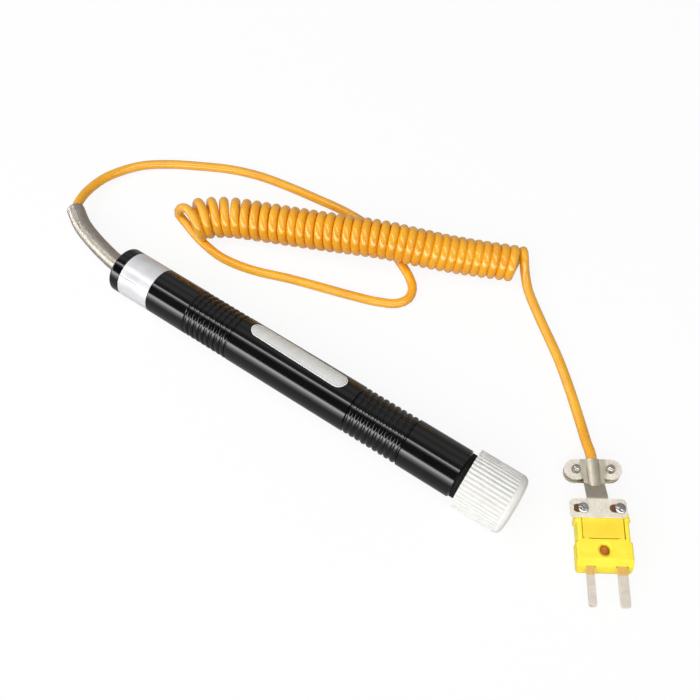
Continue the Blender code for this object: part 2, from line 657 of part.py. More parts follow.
def make_cord():
    """The cord's two free stretches and the outer shape of its coil."""
    orange = finish("cord_orange", (0.87, 0.33, 0.01), 0.35)
    clamp = plug_frame()
    cord_height = clamp_cord_height()
    inner = [axis_point(CORD_END_AT)]
    rear = [Vector(point) for point in REAR_ROUTE]
    coil = [Vector(point) for point in COIL_ROUTE]
    start_way = (coil[1] - coil[0]).normalized()
    end_way = (coil[-1] - coil[-2]).normalized()
    meeting = GAP + CORD_RADIUS
    rear_route = inner + spring_points() + rear + [coil[0] - start_way * meeting]
    rear_path = smooth_path(rear_route, CORD_STEP) + [(coil[0] - start_way * GAP, 1.0)]
    add_object("cord_lead_rear", tube_curve("cord_rear", rear_path, CORD_RADIUS), None, orange)

    radii = []
    for i in range(len(coil)):
        share = i / (len(coil) - 1)
        radii.append(1 + (COIL_RADIUS_END / COIL_RADIUS_START - 1) * share)
    coil_path = smooth_path(coil, COIL_STEP, radii)
    coil_name = "cord_coil"
    add_object(coil_name, tube_curve(coil_name, coil_path, COIL_RADIUS_START, 4), None, orange)

    front = [coil[-1] + end_way * meeting] + [Vector(point) for point in FRONT_ROUTE]
    entry = CLAMP_AT + CLAMP_DEPTH / 2
    for y in (entry + CORD_RADIUS, entry, PLUG_REAR, BLADE_TAB_END + 2 * CORD_RADIUS):
        front.append(clamp @ Vector((CLAMP_SHIFT, y, cord_height)))
    front_path = [(coil[-1] + end_way * GAP, 1.0)] + smooth_path(front, CORD_STEP)
    add_object("cord_lead_front", tube_curve("cord_front", front_path, CORD_RADIUS), None, orange)


def plug_frame():
    """The plug's own frame: X across it, +Y towards the cord, its screw hole on Z.

    The cord's twist holds the plug on its left edge, so the frame leans and is lifted by that edge.
    """
    lift = PLUG_WIDTH / 2 * math.sin(PLUG_ROLL)
    lie = Matrix.Rotation(PLUG_TURN, 4, "Z") @ Matrix.Rotation(-PLUG_ROLL, 4, "Y")
    return Matrix.Translation((*PLUG_AT, lift)) @ lie


def clamp_plate_top():
    return CLAMP_HEAD_HEIGHT + 2 * SEAT + SHEET


def clamp_cord_height():
    return clamp_plate_top() + ARCH_GAP + CORD_RADIUS


def plug_outline():
    """The plug body from above: round front corners, a shallow finger notch on each side."""
    half = PLUG_WIDTH / 2
    front = -PLUG_FRONT
    notch_front = FINGER_NOTCH_AT - FINGER_NOTCH_LENGTH / 2
    notch_rear = FINGER_NOTCH_AT + FINGER_NOTCH_LENGTH / 2
    side = arc((half - PLUG_CORNER, front + PLUG_CORNER), PLUG_CORNER, -90, 0, 3)
    side += [(half, notch_front), (half - FINGER_NOTCH, notch_front + FINGER_NOTCH)]
    side += [(half - FINGER_NOTCH, notch_rear - FINGER_NOTCH), (half, notch_rear)]
    side += arc((half - PLUG_CORNER / 2, PLUG_REAR - PLUG_CORNER / 2), PLUG_CORNER / 2, 0, 90, 2)
    return side + [(-x, y) for x, y in reversed(side)]


def blade_places():
    """Name, centre across the plug and width of each blade."""
    positive = BLADE_SHIFT - BLADE_SPACING / 2
    negative = BLADE_SHIFT + BLADE_SPACING / 2
    return [
        ("positive", positive, POSITIVE_BLADE_WIDTH, 1),
        ("negative", negative, NEGATIVE_BLADE_WIDTH, -1),
    ]


def make_plug(frame):
    """Two yellow shells, the panel over the terminals, and the screw that joins the shells."""
    yellow = finish("plug_yellow", (0.93, 0.72, 0.012), 0.4)
    chamber = PLUG_WIDTH / 2 - PLUG_WALL
    panel_front = PANEL_AT - PANEL_LENGTH / 2
    panel_rear = PANEL_AT + PANEL_LENGTH / 2
    blade_low = PLUG_PARTING + SEAT
    cord_height = clamp_cord_height()

    lower = prism("plug_lower_shell", [plug_outline()], 0, PLUG_PARTING, frame, yellow)
    upper = prism("plug_upper_shell", [plug_outline()], PLUG_PARTING + SEAT, PLUG_HEIGHT, frame, yellow)
    soften_edges(lower, 0, PLUG_BOTTOM_EDGE)
    soften_edges(upper, PLUG_HEIGHT, PLUG_TOP_EDGE)

    inside = box_outline(-chamber, chamber, panel_front + PANEL_LEDGE, panel_rear - PANEL_LEDGE)
    ledge = PLUG_HEIGHT - PANEL_THICKNESS - SEAT
    half_panel = chamber + PANEL_LEDGE
    window = box_outline(-half_panel - SEAT, half_panel + SEAT, panel_front - SEAT, panel_rear + SEAT)
    panel = box_outline(-half_panel, half_panel, panel_front, panel_rear)
    lower_room = prism("lower_room", [inside], PLUG_FLOOR, PLUG_PARTING + GAP, frame)
    upper_room = prism("upper_room", [inside], PLUG_PARTING - GAP, ledge + GAP, frame)
    opening = prism("panel_opening", [window], ledge, PLUG_HEIGHT + GAP, frame)
    prism("plug_panel", [panel], ledge + SEAT, PLUG_HEIGHT, frame, yellow)

    mouth_radius = CORD_RADIUS + abs(CLAMP_SHIFT) + GAP
    mouth_rear = PLUG_REAR + GAP
    mouth = [(0, mouth_rear), (mouth_radius, mouth_rear), (mouth_radius, panel_rear - 2 * GAP)]
    mouth += [(0, panel_rear - 2 * GAP)]
    lie = Matrix.Rotation(-math.pi / 2, 4, "X")
    way_in = turned("cord_mouth", mouth, 16, frame, place=Matrix.Translation((0, 0, cord_height)) @ lie)

    flare = SHELL_HOLE + SHELL_HOLE_FLARE
    through = [(0, PLUG_HEIGHT + GAP), (flare + GAP, PLUG_HEIGHT + GAP)]
    through += [(flare, PLUG_HEIGHT), (SHELL_HOLE, PLUG_HEIGHT - SHELL_HOLE_FLARE), (SHELL_HOLE, GAP)]
    through += [(0, GAP)]
    hole = turned("shell_hole", through, 20, frame)
    sink_radius = SHELL_SCREW_HEAD + GAP
    sunk = [(0, SHELL_SCREW_SINK), (sink_radius, SHELL_SCREW_SINK), (sink_radius, -GAP), (0, -GAP)]
    sink = turned("shell_screw_sink", sunk, 20, frame)

    front, beyond = -PLUG_FRONT, PLUG_HEIGHT + BLADE_THICKNESS
    nose = [(front - PLUG_CORNER, NOSE_LIP), (front, NOSE_LIP)]
    nose += [(front + NOSE_RISE, blade_low + BLADE_THICKNESS), (front + NOSE_LEAN, PLUG_HEIGHT)]
    nose += [(front + NOSE_LEAN, beyond), (front - PLUG_CORNER, beyond)]
    stand = Matrix((Vector((0, 1, 0)), Vector((0, 0, 1)), Vector((1, 0, 0)))).transposed().to_4x4()
    slope = prism("nose_slope", [nose], -PLUG_WIDTH, PLUG_WIDTH, frame, place=stand)
    combine(lower, "DIFFERENCE", lower_room, way_in, hole, sink, slope)
    combine(upper, "DIFFERENCE", upper_room, opening, way_in, hole, slope)
    for name, centre, width, _ in blade_places():
        half = width / 2 + SEAT
        channel = box_outline(centre - half, centre + half, -PLUG_FRONT - GAP, BLADE_TAB_END + GAP)
        top = blade_low + BLADE_THICKNESS + SEAT
        combine(upper, "DIFFERENCE", prism("channel_" + name, [channel], PLUG_PARTING - GAP, top, frame))
    shank = BRACKET_SCREW_RADIUS + SEAT
    for side in (-1, 1):
        bore = [(0, PLUG_HEIGHT + GAP), (shank, PLUG_HEIGHT + GAP), (shank, PLUG_FLOOR), (0, PLUG_FLOOR)]
        place = Matrix.Translation((side * BRACKET_SCREW_SPACING / 2, PLATE_AT, 0))
        cutter = turned("bracket_screw_bore", bore, 12, frame, place=place)
        combine(lower, "DIFFERENCE", cutter)
        combine(upper, "DIFFERENCE", cutter)

    steel = finish("shell_screw_steel", (0.6, 0.6, 0.6), 0.3, 1.0)
    stem = SHELL_HOLE - SEAT
    head_top = SHELL_SCREW_SINK - SEAT
    stem_top = PLUG_PARTING + CORD_RADIUS / 3
    screw = [(0, stem_top), (stem, stem_top), (stem, head_top)]
    screw += [(SHELL_SCREW_HEAD, head_top), (SHELL_SCREW_HEAD, GAP), (0, GAP)]
    turned("shell_screw", screw, 16, frame, steel)


def soften_edges(shell, outer_z, size):
    """Bevel a shell's edges on the plug's outer face."""
    edit = bmesh.new()
    edit.from_mesh(shell.data)
    edges = [e for e in edit.edges if all(abs(v.co.z - outer_z) < SEAT for v in e.verts)]
    edges = [e for e in edges if len(e.link_faces) == 2 and e.calc_face_angle() > 1.0]
    bmesh.ops.bevel(edit, geom=edges, offset=size, segments=2, profile=0.5, affect="EDGES")
    edit.to_mesh(shell.data)
    edit.free()


def make_blades(frame):
    """Two flat blades, their terminal screws and the cord's conductors under them."""
    nickel = finish("blade_nickel", (0.62, 0.57, 0.5), 0.3, 1.0)
    steel = finish("terminal_steel", (0.6, 0.6, 0.6), 0.3, 1.0)
    low = PLUG_PARTING + SEAT
    high = low + BLADE_THICKNESS
    tip = -PLUG_FRONT - BLADE_REACH
    cord_end = BLADE_TAB_END + 2 * CORD_RADIUS
    cord_height = clamp_cord_height()
    for name, centre, width, inward in blade_places():
        half = width / 2
        outline = arc((centre - half + BLADE_TIP, tip + BLADE_TIP), BLADE_TIP, 180, 270, 3)
        outline += arc((centre + half - BLADE_TIP, tip + BLADE_TIP), BLADE_TIP, 270, 360, 3)
        outline += [(centre + half, BLADE_TAB_END), (centre - half, BLADE_TAB_END)]
        blade = prism("blade_" + name, [outline], low, high, frame, nickel)
        terminal_x = centre + inward * TERMINAL_INSET
        hole = TERMINAL_RADIUS + SEAT
        cut = [(0, high + GAP), (hole, high + GAP), (hole, low - GAP), (0, low - GAP)]
        place = Matrix.Translation((terminal_x, TERMINAL_AT, 0))
        combine(blade, "DIFFERENCE", turned("terminal_hole_" + name, cut, 12, frame, place=place))
        head_low = high + SEAT
        head_high = PLUG_HEIGHT - PANEL_THICKNESS - SEAT
        stem_low = PLUG_FLOOR + GAP
        screw = [(0, head_high), (TERMINAL_HEAD, head_high), (TERMINAL_HEAD, head_low)]
        screw += [(TERMINAL_RADIUS, head_low), (TERMINAL_RADIUS, stem_low), (0, stem_low)]
        turned("terminal_screw_" + name, screw, 12, frame, steel, place=place)
        side = -inward
        start = Vector((CLAMP_SHIFT + side * CORD_RADIUS / 2, cord_end - SEAT, cord_height))
        reach = terminal_x - side * (TERMINAL_RADIUS + TAIL_RADIUS + SEAT)
        under = low - TAIL_RADIUS - SEAT
        bend = Vector((reach, BLADE_TAB_END - TAIL_RADIUS, (cord_height + under) / 2))
        tail = [start, bend, Vector((reach, TERMINAL_AT, under))]
        tail.append(Vector((reach, TERMINAL_AT - TERMINAL_RADIUS, under)))
        points = [(point, 1.0) for point in tail]
        add_object("plug_tail_" + name, tube_curve("plug_tail", points, TAIL_RADIUS, 1), frame, nickel)


def make_clamp(frame):
    """The stamped bracket on the plug, the lower clamp plate and all four screws."""
    steel = finish("bracket_steel", (0.66, 0.62, 0.56), 0.3, 1.0)
    cord_height = clamp_cord_height()
    ears_low = clamp_plate_top() + CLAMP_SQUEEZE
    ears_high = ears_low + SHEET
    plate_low = PLUG_HEIGHT + SEAT
    plate_high = plate_low + SHEET
    shift = Matrix.Translation((CLAMP_SHIFT, 0, 0))
    rear = CLAMP_AT + CLAMP_DEPTH / 2
    ears_front = CLAMP_AT - CLAMP_DEPTH / 2
    band_front = ears_front - BAND_TAIL
    strip = BAND_STRIP / 2

    radius = CLAMP_DEPTH / 2
    reach = CLAMP_LENGTH / 2 - radius
    relief = ears_front + GAP
    outline = [(-strip, relief), (-strip, band_front), (strip, band_front), (strip, relief)]
    outline += arc((reach, CLAMP_AT), radius, -90, 90, 8) + arc((-reach, CLAMP_AT), radius, 90, 270, 8)
    bracket = prism("clamp_bracket", [outline], ears_low, ears_high, frame, steel, shift)

    run = (plate_low - ears_low) * TONGUE_LEAN
    inset = FOIL_GAP / 2
    foot = band_front + SHEET / 2
    slope_end = foot - SHEET - run
    side = [(foot + SHEET, ears_low + inset), (foot + SHEET, ears_high - inset)]
    side += [(foot - SHEET / 2, ears_high - inset), (slope_end + SHEET / 2, plate_high - inset)]
    side += [(PLATE_AT, plate_high - inset), (PLATE_AT, plate_low + inset)]
    side += [(slope_end, plate_low + inset), (foot, ears_low + inset)]
    stand = Matrix((Vector((0, 1, 0)), Vector((0, 0, 1)), Vector((1, 0, 0)))).transposed().to_4x4()
    tongue = prism("tongue", [side], -strip + inset, strip - inset, frame, place=shift @ stand)

    arch_inner = CORD_RADIUS + ARCH_GAP
    arch_outer = arch_inner + SHEET
    lift = ears_low + inset - cord_height
    spread = math.degrees(math.asin(lift / arch_outer))
    hump = arc((0, 0), arch_outer, spread, 180 - spread, 14)
    lie = Matrix((Vector((1, 0, 0)), Vector((0, 0, 1)), Vector((0, -1, 0)))).transposed().to_4x4()
    rise = Matrix.Translation((CLAMP_SHIFT, 0, cord_height)) @ lie
    slope = (plate_low - ears_low) / (foot - slope_end)
    arch_front = foot - (arch_outer + cord_height - ears_high) / slope
    arch = prism("arch", [hump], -rear, -arch_front, frame, place=rise)
    tunnel_end = slope_end + SHEET
    tunnel = [(0, rear + GAP), (arch_inner, rear + GAP), (arch_inner, tunnel_end), (0, tunnel_end)]
    along = Matrix.Translation((CLAMP_SHIFT, 0, cord_height)) @ Matrix.Rotation(-math.pi / 2, 4, "X")
    channel = turned("tunnel", tunnel, 24, frame, place=along)

    half_width = PLATE_WIDTH / 2
    half_depth = PLATE_DEPTH / 2
    plate = rounded_box(-half_width, half_width, PLATE_AT - half_depth, PLATE_AT + half_depth, PLATE_CORNER)
    slots = []
    slot_width = 2 * BRACKET_SCREW_RADIUS + 3 * SEAT
    for sign in (-1, 1):
        slot = stadium(slot_width + SLOT_TRAVEL, slot_width, 5)
        slots.append([(x + sign * BRACKET_SCREW_SPACING / 2, y + PLATE_AT) for x, y in slot])
    top = prism("bracket_plate", [plate] + slots, plate_low, plate_high, frame, place=shift)
    combine(bracket, "UNION", tongue, top, arch)
    combine(bracket, "DIFFERENCE", channel)

    holes = []
    for sign in (-1, 1):
        ring = arc((sign * CLAMP_SCREW_SPACING / 2, CLAMP_AT), CLAMP_SCREW_RADIUS + SEAT, 0, 330, 11)
        holes.append(ring)
    base_outline = stadium(CLAMP_LENGTH, CLAMP_DEPTH)
    base = [[(x, y + CLAMP_AT) for x, y in base_outline]] + holes
    base_low = clamp_plate_top() - SHEET
    prism("clamp_plate", base, base_low, base_low + SHEET, frame, steel, shift)

    bright = finish("screw_chrome", (0.75, 0.75, 0.76), 0.15, 1.0)
    dull = finish("clamp_screw_steel", (0.5, 0.48, 0.46), 0.35, 1.0)
    for word, sign, cross_turn in CROSS_TURNS:
        place = Matrix.Translation((CLAMP_SHIFT + sign * CLAMP_SCREW_SPACING / 2, CLAMP_AT, 0))
        ear_hole = cylinder(CLAMP_SCREW_RADIUS + SEAT, ears_low, ears_high)
        hole = turned("ear_hole_" + word, ear_hole, 12, frame)
        hole.matrix_local = place
        combine(bracket, "DIFFERENCE", hole)
        tip = ears_high + CLAMP_SCREW_TOP
        stem = [(0, tip), (CLAMP_SCREW_RADIUS / 2, tip - SEAT), (CLAMP_SCREW_RADIUS, tip - 4 * SEAT)]
        stem += [(CLAMP_SCREW_RADIUS, CLAMP_HEAD_HEIGHT + SEAT)]
        stem += [(CLAMP_SCREW_HEAD, CLAMP_HEAD_HEIGHT + SEAT), (CLAMP_SCREW_HEAD, 3 * SEAT)]
        stem += [(CLAMP_SCREW_HEAD - 2 * SEAT, SEAT), (0, SEAT)]
        turned("clamp_screw_" + word, stem, 16, frame, dull, place=place)

        place = Matrix.Translation((sign * BRACKET_SCREW_SPACING / 2, PLATE_AT, 0))
        seat = plate_high + SEAT
        crown = seat + BRACKET_SCREW_CROWN
        shape = [(0, crown), (BRACKET_SCREW_HEAD / 2, crown - SEAT), (BRACKET_SCREW_HEAD, seat + SEAT)]
        shape += [(BRACKET_SCREW_HEAD, seat), (BRACKET_SCREW_RADIUS, seat)]
        shape += [(BRACKET_SCREW_RADIUS, PLUG_FLOOR + GAP), (0, PLUG_FLOOR + GAP)]
        screw = turned("bracket_screw_" + word, shape, 16, frame, bright, place=place)
        slit = CROSS_WIDTH / 2
        arm = CROSS_REACH
        cross = [(-slit, -arm), (slit, -arm), (slit, -slit), (arm, -slit), (arm, slit), (slit, slit)]
        cross += [(slit, arm), (-slit, arm), (-slit, slit), (-arm, slit), (-arm, -slit), (-slit, -slit)]
        turn = place @ Matrix.Rotation(math.radians(cross_turn), 4, "Z")
        recess = prism("recess_" + word, [cross], seat + 2 * SEAT, crown + GAP, frame, place=turn)
        combine(screw, "DIFFERENCE", recess)


def cylinder(radius, low, high):
    """Profile of a plain round cutter, longer than what it cuts."""
    return [(0, high + GAP), (radius, high + GAP), (radius, low - GAP), (0, low - GAP)]


def main():
    clear_scene()
    handle = add_empty("handle_axis", handle_frame())
    make_handle(handle)
    make_cord_entry(handle)
    make_head(handle)
    make_cap(handle)
    make_cord()
    plug = add_empty("plug_origin", plug_frame())
    make_plug(plug)
    make_blades(plug)
    make_clamp(plug)


main()
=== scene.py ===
# %% [markdown]
# # A surface thermocouple probe, dressed over its solids
#
# The probe is a pen-like handle with a capped sensing head, a steel spring that relieves the cord, a
# curly orange cord, and a flat yellow plug with a stamped cord clamp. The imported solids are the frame:
# each visible piece below is made where its solid lies, and stands for it.

import json
import math

import bmesh
import bpy
from mathutils import Matrix, Vector


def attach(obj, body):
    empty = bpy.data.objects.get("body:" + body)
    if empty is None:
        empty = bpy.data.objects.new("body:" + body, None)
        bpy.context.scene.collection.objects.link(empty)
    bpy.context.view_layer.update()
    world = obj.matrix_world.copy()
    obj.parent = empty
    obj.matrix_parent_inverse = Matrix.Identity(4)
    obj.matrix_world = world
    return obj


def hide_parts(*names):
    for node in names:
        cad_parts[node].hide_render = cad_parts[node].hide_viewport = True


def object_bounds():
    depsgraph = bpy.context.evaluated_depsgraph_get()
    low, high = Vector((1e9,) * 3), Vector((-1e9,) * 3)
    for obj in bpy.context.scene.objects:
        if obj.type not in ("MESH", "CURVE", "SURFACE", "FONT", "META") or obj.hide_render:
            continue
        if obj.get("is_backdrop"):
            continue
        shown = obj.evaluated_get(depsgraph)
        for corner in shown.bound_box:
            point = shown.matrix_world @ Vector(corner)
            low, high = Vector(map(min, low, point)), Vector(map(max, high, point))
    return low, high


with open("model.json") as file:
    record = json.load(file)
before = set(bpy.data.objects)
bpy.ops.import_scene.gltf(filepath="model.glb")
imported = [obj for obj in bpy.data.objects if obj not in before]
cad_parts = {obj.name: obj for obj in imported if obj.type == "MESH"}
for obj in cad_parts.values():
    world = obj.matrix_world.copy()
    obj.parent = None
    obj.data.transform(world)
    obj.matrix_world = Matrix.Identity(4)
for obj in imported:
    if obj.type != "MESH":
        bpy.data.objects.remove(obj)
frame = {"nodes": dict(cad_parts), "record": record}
cad_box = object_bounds()
MM = 0.001
print("solids:", len(frame["nodes"]), "box in mm:", [[round(v / MM, 1) for v in corner] for corner in cad_box])

# %% [markdown]
# ## The camera
#
# The probe was photographed from above, from the side of the cap and the plug's blades. A pinhole
# camera was fitted to the handle, the cord's loops and the plug, which gives one place and one lens.

# %% The camera
EYE = Vector((60.1, -67.3, 223.5)) * MM
LOOK_AT = Vector((3.2, 19.25, 0.0)) * MM
LENS = 38.65

camera_data = bpy.data.cameras.new("camera")
camera_data.lens = LENS
camera_data.sensor_width = 36.0
camera_data.clip_start = 0.01
camera_data.clip_end = 20.0
camera = bpy.data.objects.new("camera", camera_data)
camera.location = EYE
camera.rotation_euler = (LOOK_AT - EYE).to_track_quat("-Z", "Y").to_euler()
bpy.context.scene.collection.objects.link(camera)
bpy.context.scene.camera = camera
print("camera looks down by", round(math.degrees(math.asin((EYE - LOOK_AT).normalized().z)), 1), "degrees")

# %% [markdown]
# ## Procedural finishes
#
# Every finish reads Object coordinates, so it stays with its piece. Two noises do the work: a broad one
# drifts the colour and the gloss, as handling and moulding do, and a fine one lifts the surface a few
# hundredths of a millimetre. A stretch along one axis turns the same noise into drawn or rolled metal.

# %% A finish from two noises
def noise_on_piece(tree, size, stretch=(1.0, 1.0, 1.0), detail=3.0):
    """Noise whose features are about as large as size, in metres, longer where stretch is above 1."""
    place = tree.nodes.new("ShaderNodeTexCoord")
    mapping = tree.nodes.new("ShaderNodeMapping")
    mapping.inputs["Scale"].default_value = [1.0 / (size * way) for way in stretch]
    noise = tree.nodes.new("ShaderNodeTexNoise")
    noise.inputs["Scale"].default_value = 1.0
    noise.inputs["Detail"].default_value = detail
    tree.links.new(place.outputs["Object"], mapping.inputs["Vector"])
    tree.links.new(mapping.outputs["Vector"], noise.inputs["Vector"])
    return noise.outputs["Fac"]


def spread(tree, value, low, high):
    """The noise's middle range, stretched between two numbers."""
    node = tree.nodes.new("ShaderNodeMapRange")
    node.inputs["From Min"].default_value = 0.3
    node.inputs["From Max"].default_value = 0.7
    node.inputs["To Min"].default_value = low
    node.inputs["To Max"].default_value = high
    tree.links.new(value, node.inputs["Value"])
    return node.outputs["Result"]


def blend_colours(tree, value, dark, light):
    """Dark to light over the noise's middle range."""
    ramp = tree.nodes.new("ShaderNodeValToRGB")
    ramp.color_ramp.elements[0].position = 0.3
    ramp.color_ramp.elements[1].position = 0.7
    ramp.color_ramp.elements[0].color = (*dark, 1.0)
    ramp.color_ramp.elements[1].color = (*light, 1.0)
    tree.links.new(value, ramp.inputs["Fac"])
    return ramp.outputs["Color"]


def surface(name, dark, light, gloss, patch, grain, height, metal=0.0, stretch=(1.0, 1.0, 1.0), **fixed):
    """A finish: colours between dark and light, roughness between gloss's two values, a fine relief."""
    material = bpy.data.materials.new(name)
    material.use_nodes = True
    tree = material.node_tree
    shader = tree.nodes["Principled BSDF"]
    shader.inputs["Metallic"].default_value = metal
    for label, value in fixed.items():
        shader.inputs[label.replace("_", " ")].default_value = value
    broad = noise_on_piece(tree, patch, stretch)
    fine = noise_on_piece(tree, grain, stretch, 2.0)
    tree.links.new(blend_colours(tree, broad, dark, light), shader.inputs["Base Color"])
    tree.links.new(spread(tree, fine, *gloss), shader.inputs["Roughness"])
    relief = tree.nodes.new("ShaderNodeBump")
    relief.inputs["Strength"].default_value = 1.0
    relief.inputs["Distance"].default_value = height
    tree.links.new(fine, relief.inputs["Height"])
    tree.links.new(relief.outputs["Normal"], shader.inputs["Normal"])
    return material


ALONG = (12.0, 1.0, 1.0)
finishes = {
    "handle_black": surface("handle_black", (0.0025, 0.0025, 0.003), (0.005, 0.005, 0.0055), (0.07, 0.12),
                            9 * MM, 0.8 * MM, 0.001 * MM),
    "rear_label_silver": surface("rear_label_silver", (0.66, 0.66, 0.68), (0.76, 0.76, 0.77), (0.3, 0.4),
                                 4 * MM, 0.25 * MM, 0.003 * MM, metal=0.2),
    "grip_label_silver": surface("grip_label_silver", (0.70, 0.71, 0.68), (0.78, 0.79, 0.76), (0.45, 0.55),
                                 3 * MM, 0.2 * MM, 0.003 * MM, Specular_IOR_Level=0.2),
    "label_white": surface("label_white", (0.84, 0.84, 0.84), (0.88, 0.88, 0.87), (0.3, 0.4),
                           3 * MM, 0.3 * MM, 0.002 * MM),
    "label_line": surface("label_line", (0.20, 0.20, 0.20), (0.28, 0.28, 0.28), (0.3, 0.4),
                          1 * MM, 0.2 * MM, 0.002 * MM),
    "bush_black": surface("bush_black", (0.012, 0.012, 0.013), (0.022, 0.022, 0.023), (0.4, 0.55),
                          2 * MM, 0.3 * MM, 0.01 * MM),
    "spring_steel": surface("spring_steel", (0.46, 0.42, 0.37), (0.58, 0.53, 0.47), (0.42, 0.48),
                            1.5 * MM, 0.3 * MM, 0.0008 * MM, metal=1.0),
    "crimp_brass": surface("crimp_brass", (0.52, 0.35, 0.13), (0.66, 0.47, 0.2), (0.28, 0.42),
                           1.5 * MM, 0.2 * MM, 0.006 * MM, metal=1.0),
    "wire_yellow": surface("wire_yellow", (0.68, 0.48, 0.02), (0.8, 0.6, 0.04), (0.4, 0.52),
                           3 * MM, 0.2 * MM, 0.005 * MM),
    "wire_red": surface("wire_red", (0.42, 0.014, 0.014), (0.56, 0.03, 0.026), (0.4, 0.52),
                        3 * MM, 0.2 * MM, 0.005 * MM),
    "splice_tin": surface("splice_tin", (0.62, 0.62, 0.62), (0.76, 0.76, 0.76), (0.3, 0.45),
                          1.2 * MM, 0.15 * MM, 0.006 * MM, metal=1.0),
    "neck_grey": surface("neck_grey", (0.003, 0.003, 0.003), (0.007, 0.007, 0.007), (0.55, 0.7),
                         2 * MM, 0.15 * MM, 0.004 * MM, Specular_IOR_Level=0.15),
    "ceramic_white": surface("ceramic_white", (0.74, 0.72, 0.67), (0.84, 0.82, 0.78), (0.45, 0.6),
                             1.5 * MM, 0.12 * MM, 0.01 * MM),
    "post_metal": surface("post_metal", (0.52, 0.5, 0.46), (0.68, 0.66, 0.62), (0.25, 0.38),
                          1 * MM, 0.1 * MM, 0.003 * MM, metal=1.0, stretch=ALONG),
    "band_alloy": surface("band_alloy", (0.58, 0.53, 0.46), (0.74, 0.7, 0.64), (0.2, 0.34),
                          1 * MM, 0.1 * MM, 0.003 * MM, metal=1.0),
    "cap_frosted": surface("cap_frosted", (0.79, 0.78, 0.74), (0.87, 0.86, 0.83), (0.4, 0.5),
                           4 * MM, 0.2 * MM, 0.01 * MM, Subsurface_Weight=0.35, Subsurface_Scale=0.002,
                           Subsurface_Radius=(1.0, 0.97, 0.9)),
    # The cap's groove finish is a darker copy of its frosted finish: painted shade between the ribs.
    "cap_groove_painted_shade": surface("cap_groove_painted_shade", (0.64, 0.63, 0.60), (0.80, 0.79, 0.76), (0.45, 0.55),
                          3 * MM, 0.2 * MM, 0.01 * MM),
    "cord_orange": surface("cord_orange", (0.86, 0.37, 0.006), (0.96, 0.46, 0.010), (0.24, 0.32),
                           8 * MM, 0.5 * MM, 0.004 * MM, Coat_Weight=0.8, Coat_Roughness=0.1),
    "plug_yellow": surface("plug_yellow", (0.92, 0.73, 0.030), (0.98, 0.80, 0.045), (0.34, 0.44),
                           5 * MM, 0.15 * MM, 0.008 * MM),
    "panel_yellow": surface("panel_yellow", (0.92, 0.63, 0.025), (0.98, 0.71, 0.040), (0.36, 0.46),
                            5 * MM, 0.15 * MM, 0.008 * MM),
    # The shell screw's dark orange-brown is painted shade in its hole, with a painted reflection of the yellow walls.
    "shell_screw_steel": surface("shell_screw_steel", (0.42, 0.12, 0.015), (0.6, 0.2, 0.03), (0.35, 0.5),
                                 1 * MM, 0.1 * MM, 0.004 * MM, metal=0.3),
    "blade_nickel": surface("blade_nickel", (0.70, 0.63, 0.54), (0.82, 0.75, 0.65), (0.24, 0.34),
                            2.5 * MM, 0.12 * MM, 0.004 * MM, metal=0.4),
    "terminal_steel": surface("terminal_steel", (0.5, 0.5, 0.5), (0.68, 0.68, 0.68), (0.28, 0.42),
                              1 * MM, 0.1 * MM, 0.004 * MM, metal=1.0),
    "bracket_steel": surface("bracket_steel", (0.86, 0.79, 0.67), (0.98, 0.92, 0.80), (0.22, 0.32),
                             2.5 * MM, 0.15 * MM, 0.004 * MM, metal=0.4),
    # The bracket's darker finish is painted shade: for the clamp's raised strip and tongue, and the back plate's face
    # under the ears.
    "bracket_painted_shade": surface("bracket_painted_shade", (0.66, 0.60, 0.48), (0.78, 0.72, 0.59), (0.4, 0.46),
                             2.5 * MM, 0.3 * MM, 0.001 * MM, metal=1.0),
    # A dark brown of painted shade, for the rings seen through the bracket's slots.
    "slot_painted_shade": surface("slot_painted_shade", (0.10, 0.04, 0.012), (0.2, 0.09, 0.03), (0.5, 0.6),
                            1 * MM, 0.15 * MM, 0.008 * MM),
    "screw_chrome": surface("screw_chrome", (0.40, 0.39, 0.38), (0.52, 0.51, 0.50), (0.2, 0.3),
                            1 * MM, 0.1 * MM, 0.003 * MM, metal=1.0),
    "clamp_screw_steel": surface("clamp_screw_steel", (0.42, 0.40, 0.37), (0.66, 0.63, 0.58), (0.16, 0.26),
                                 0.8 * MM, 0.1 * MM, 0.006 * MM, metal=1.0),
}
# A near-black finish of painted shade: in the screws' cross recesses and on the clamp's back plate.
finishes["deep_painted_shade"] = surface("deep_painted_shade", (0.03, 0.028, 0.026), (0.09, 0.085, 0.08), (0.4, 0.5),
                                   0.6 * MM, 0.1 * MM, 0.004 * MM, metal=0.5)
print("finishes:", len(finishes))

# %% [markdown]
# The plug's nose is a little translucent, so it throws a warm light on the roots of the blades. That light
# is painted into the blades' colour as a warm tint: it follows the distance along the plug and fades out past the
# nose.

# %% A tint along one way
def tint_along(material, way, low, high, colour):
    """Blend a colour in where the place along a way rises from low to high."""
    tree = material.node_tree
    shader = tree.nodes["Principled BSDF"]
    plain = shader.inputs["Base Color"].links[0].from_socket
    place = tree.nodes.new("ShaderNodeTexCoord")
    along = tree.nodes.new("ShaderNodeVectorMath")
    along.operation = "DOT_PRODUCT"
    along.inputs[1].default_value = way
    share = tree.nodes.new("ShaderNodeMapRange")
    share.inputs["From Min"].default_value = low
    share.inputs["From Max"].default_value = high
    mix = tree.nodes.new("ShaderNodeMix")
    mix.data_type = "RGBA"
    mix.inputs["B"].default_value = (*colour, 1.0)
    tree.links.new(place.outputs["Object"], along.inputs[0])
    tree.links.new(along.outputs["Value"], share.inputs["Value"])
    tree.links.new(share.outputs["Result"], mix.inputs["Factor"])
    tree.links.new(plain, mix.inputs["A"])
    tree.links.new(mix.outputs["Result"], shader.inputs["Base Color"])


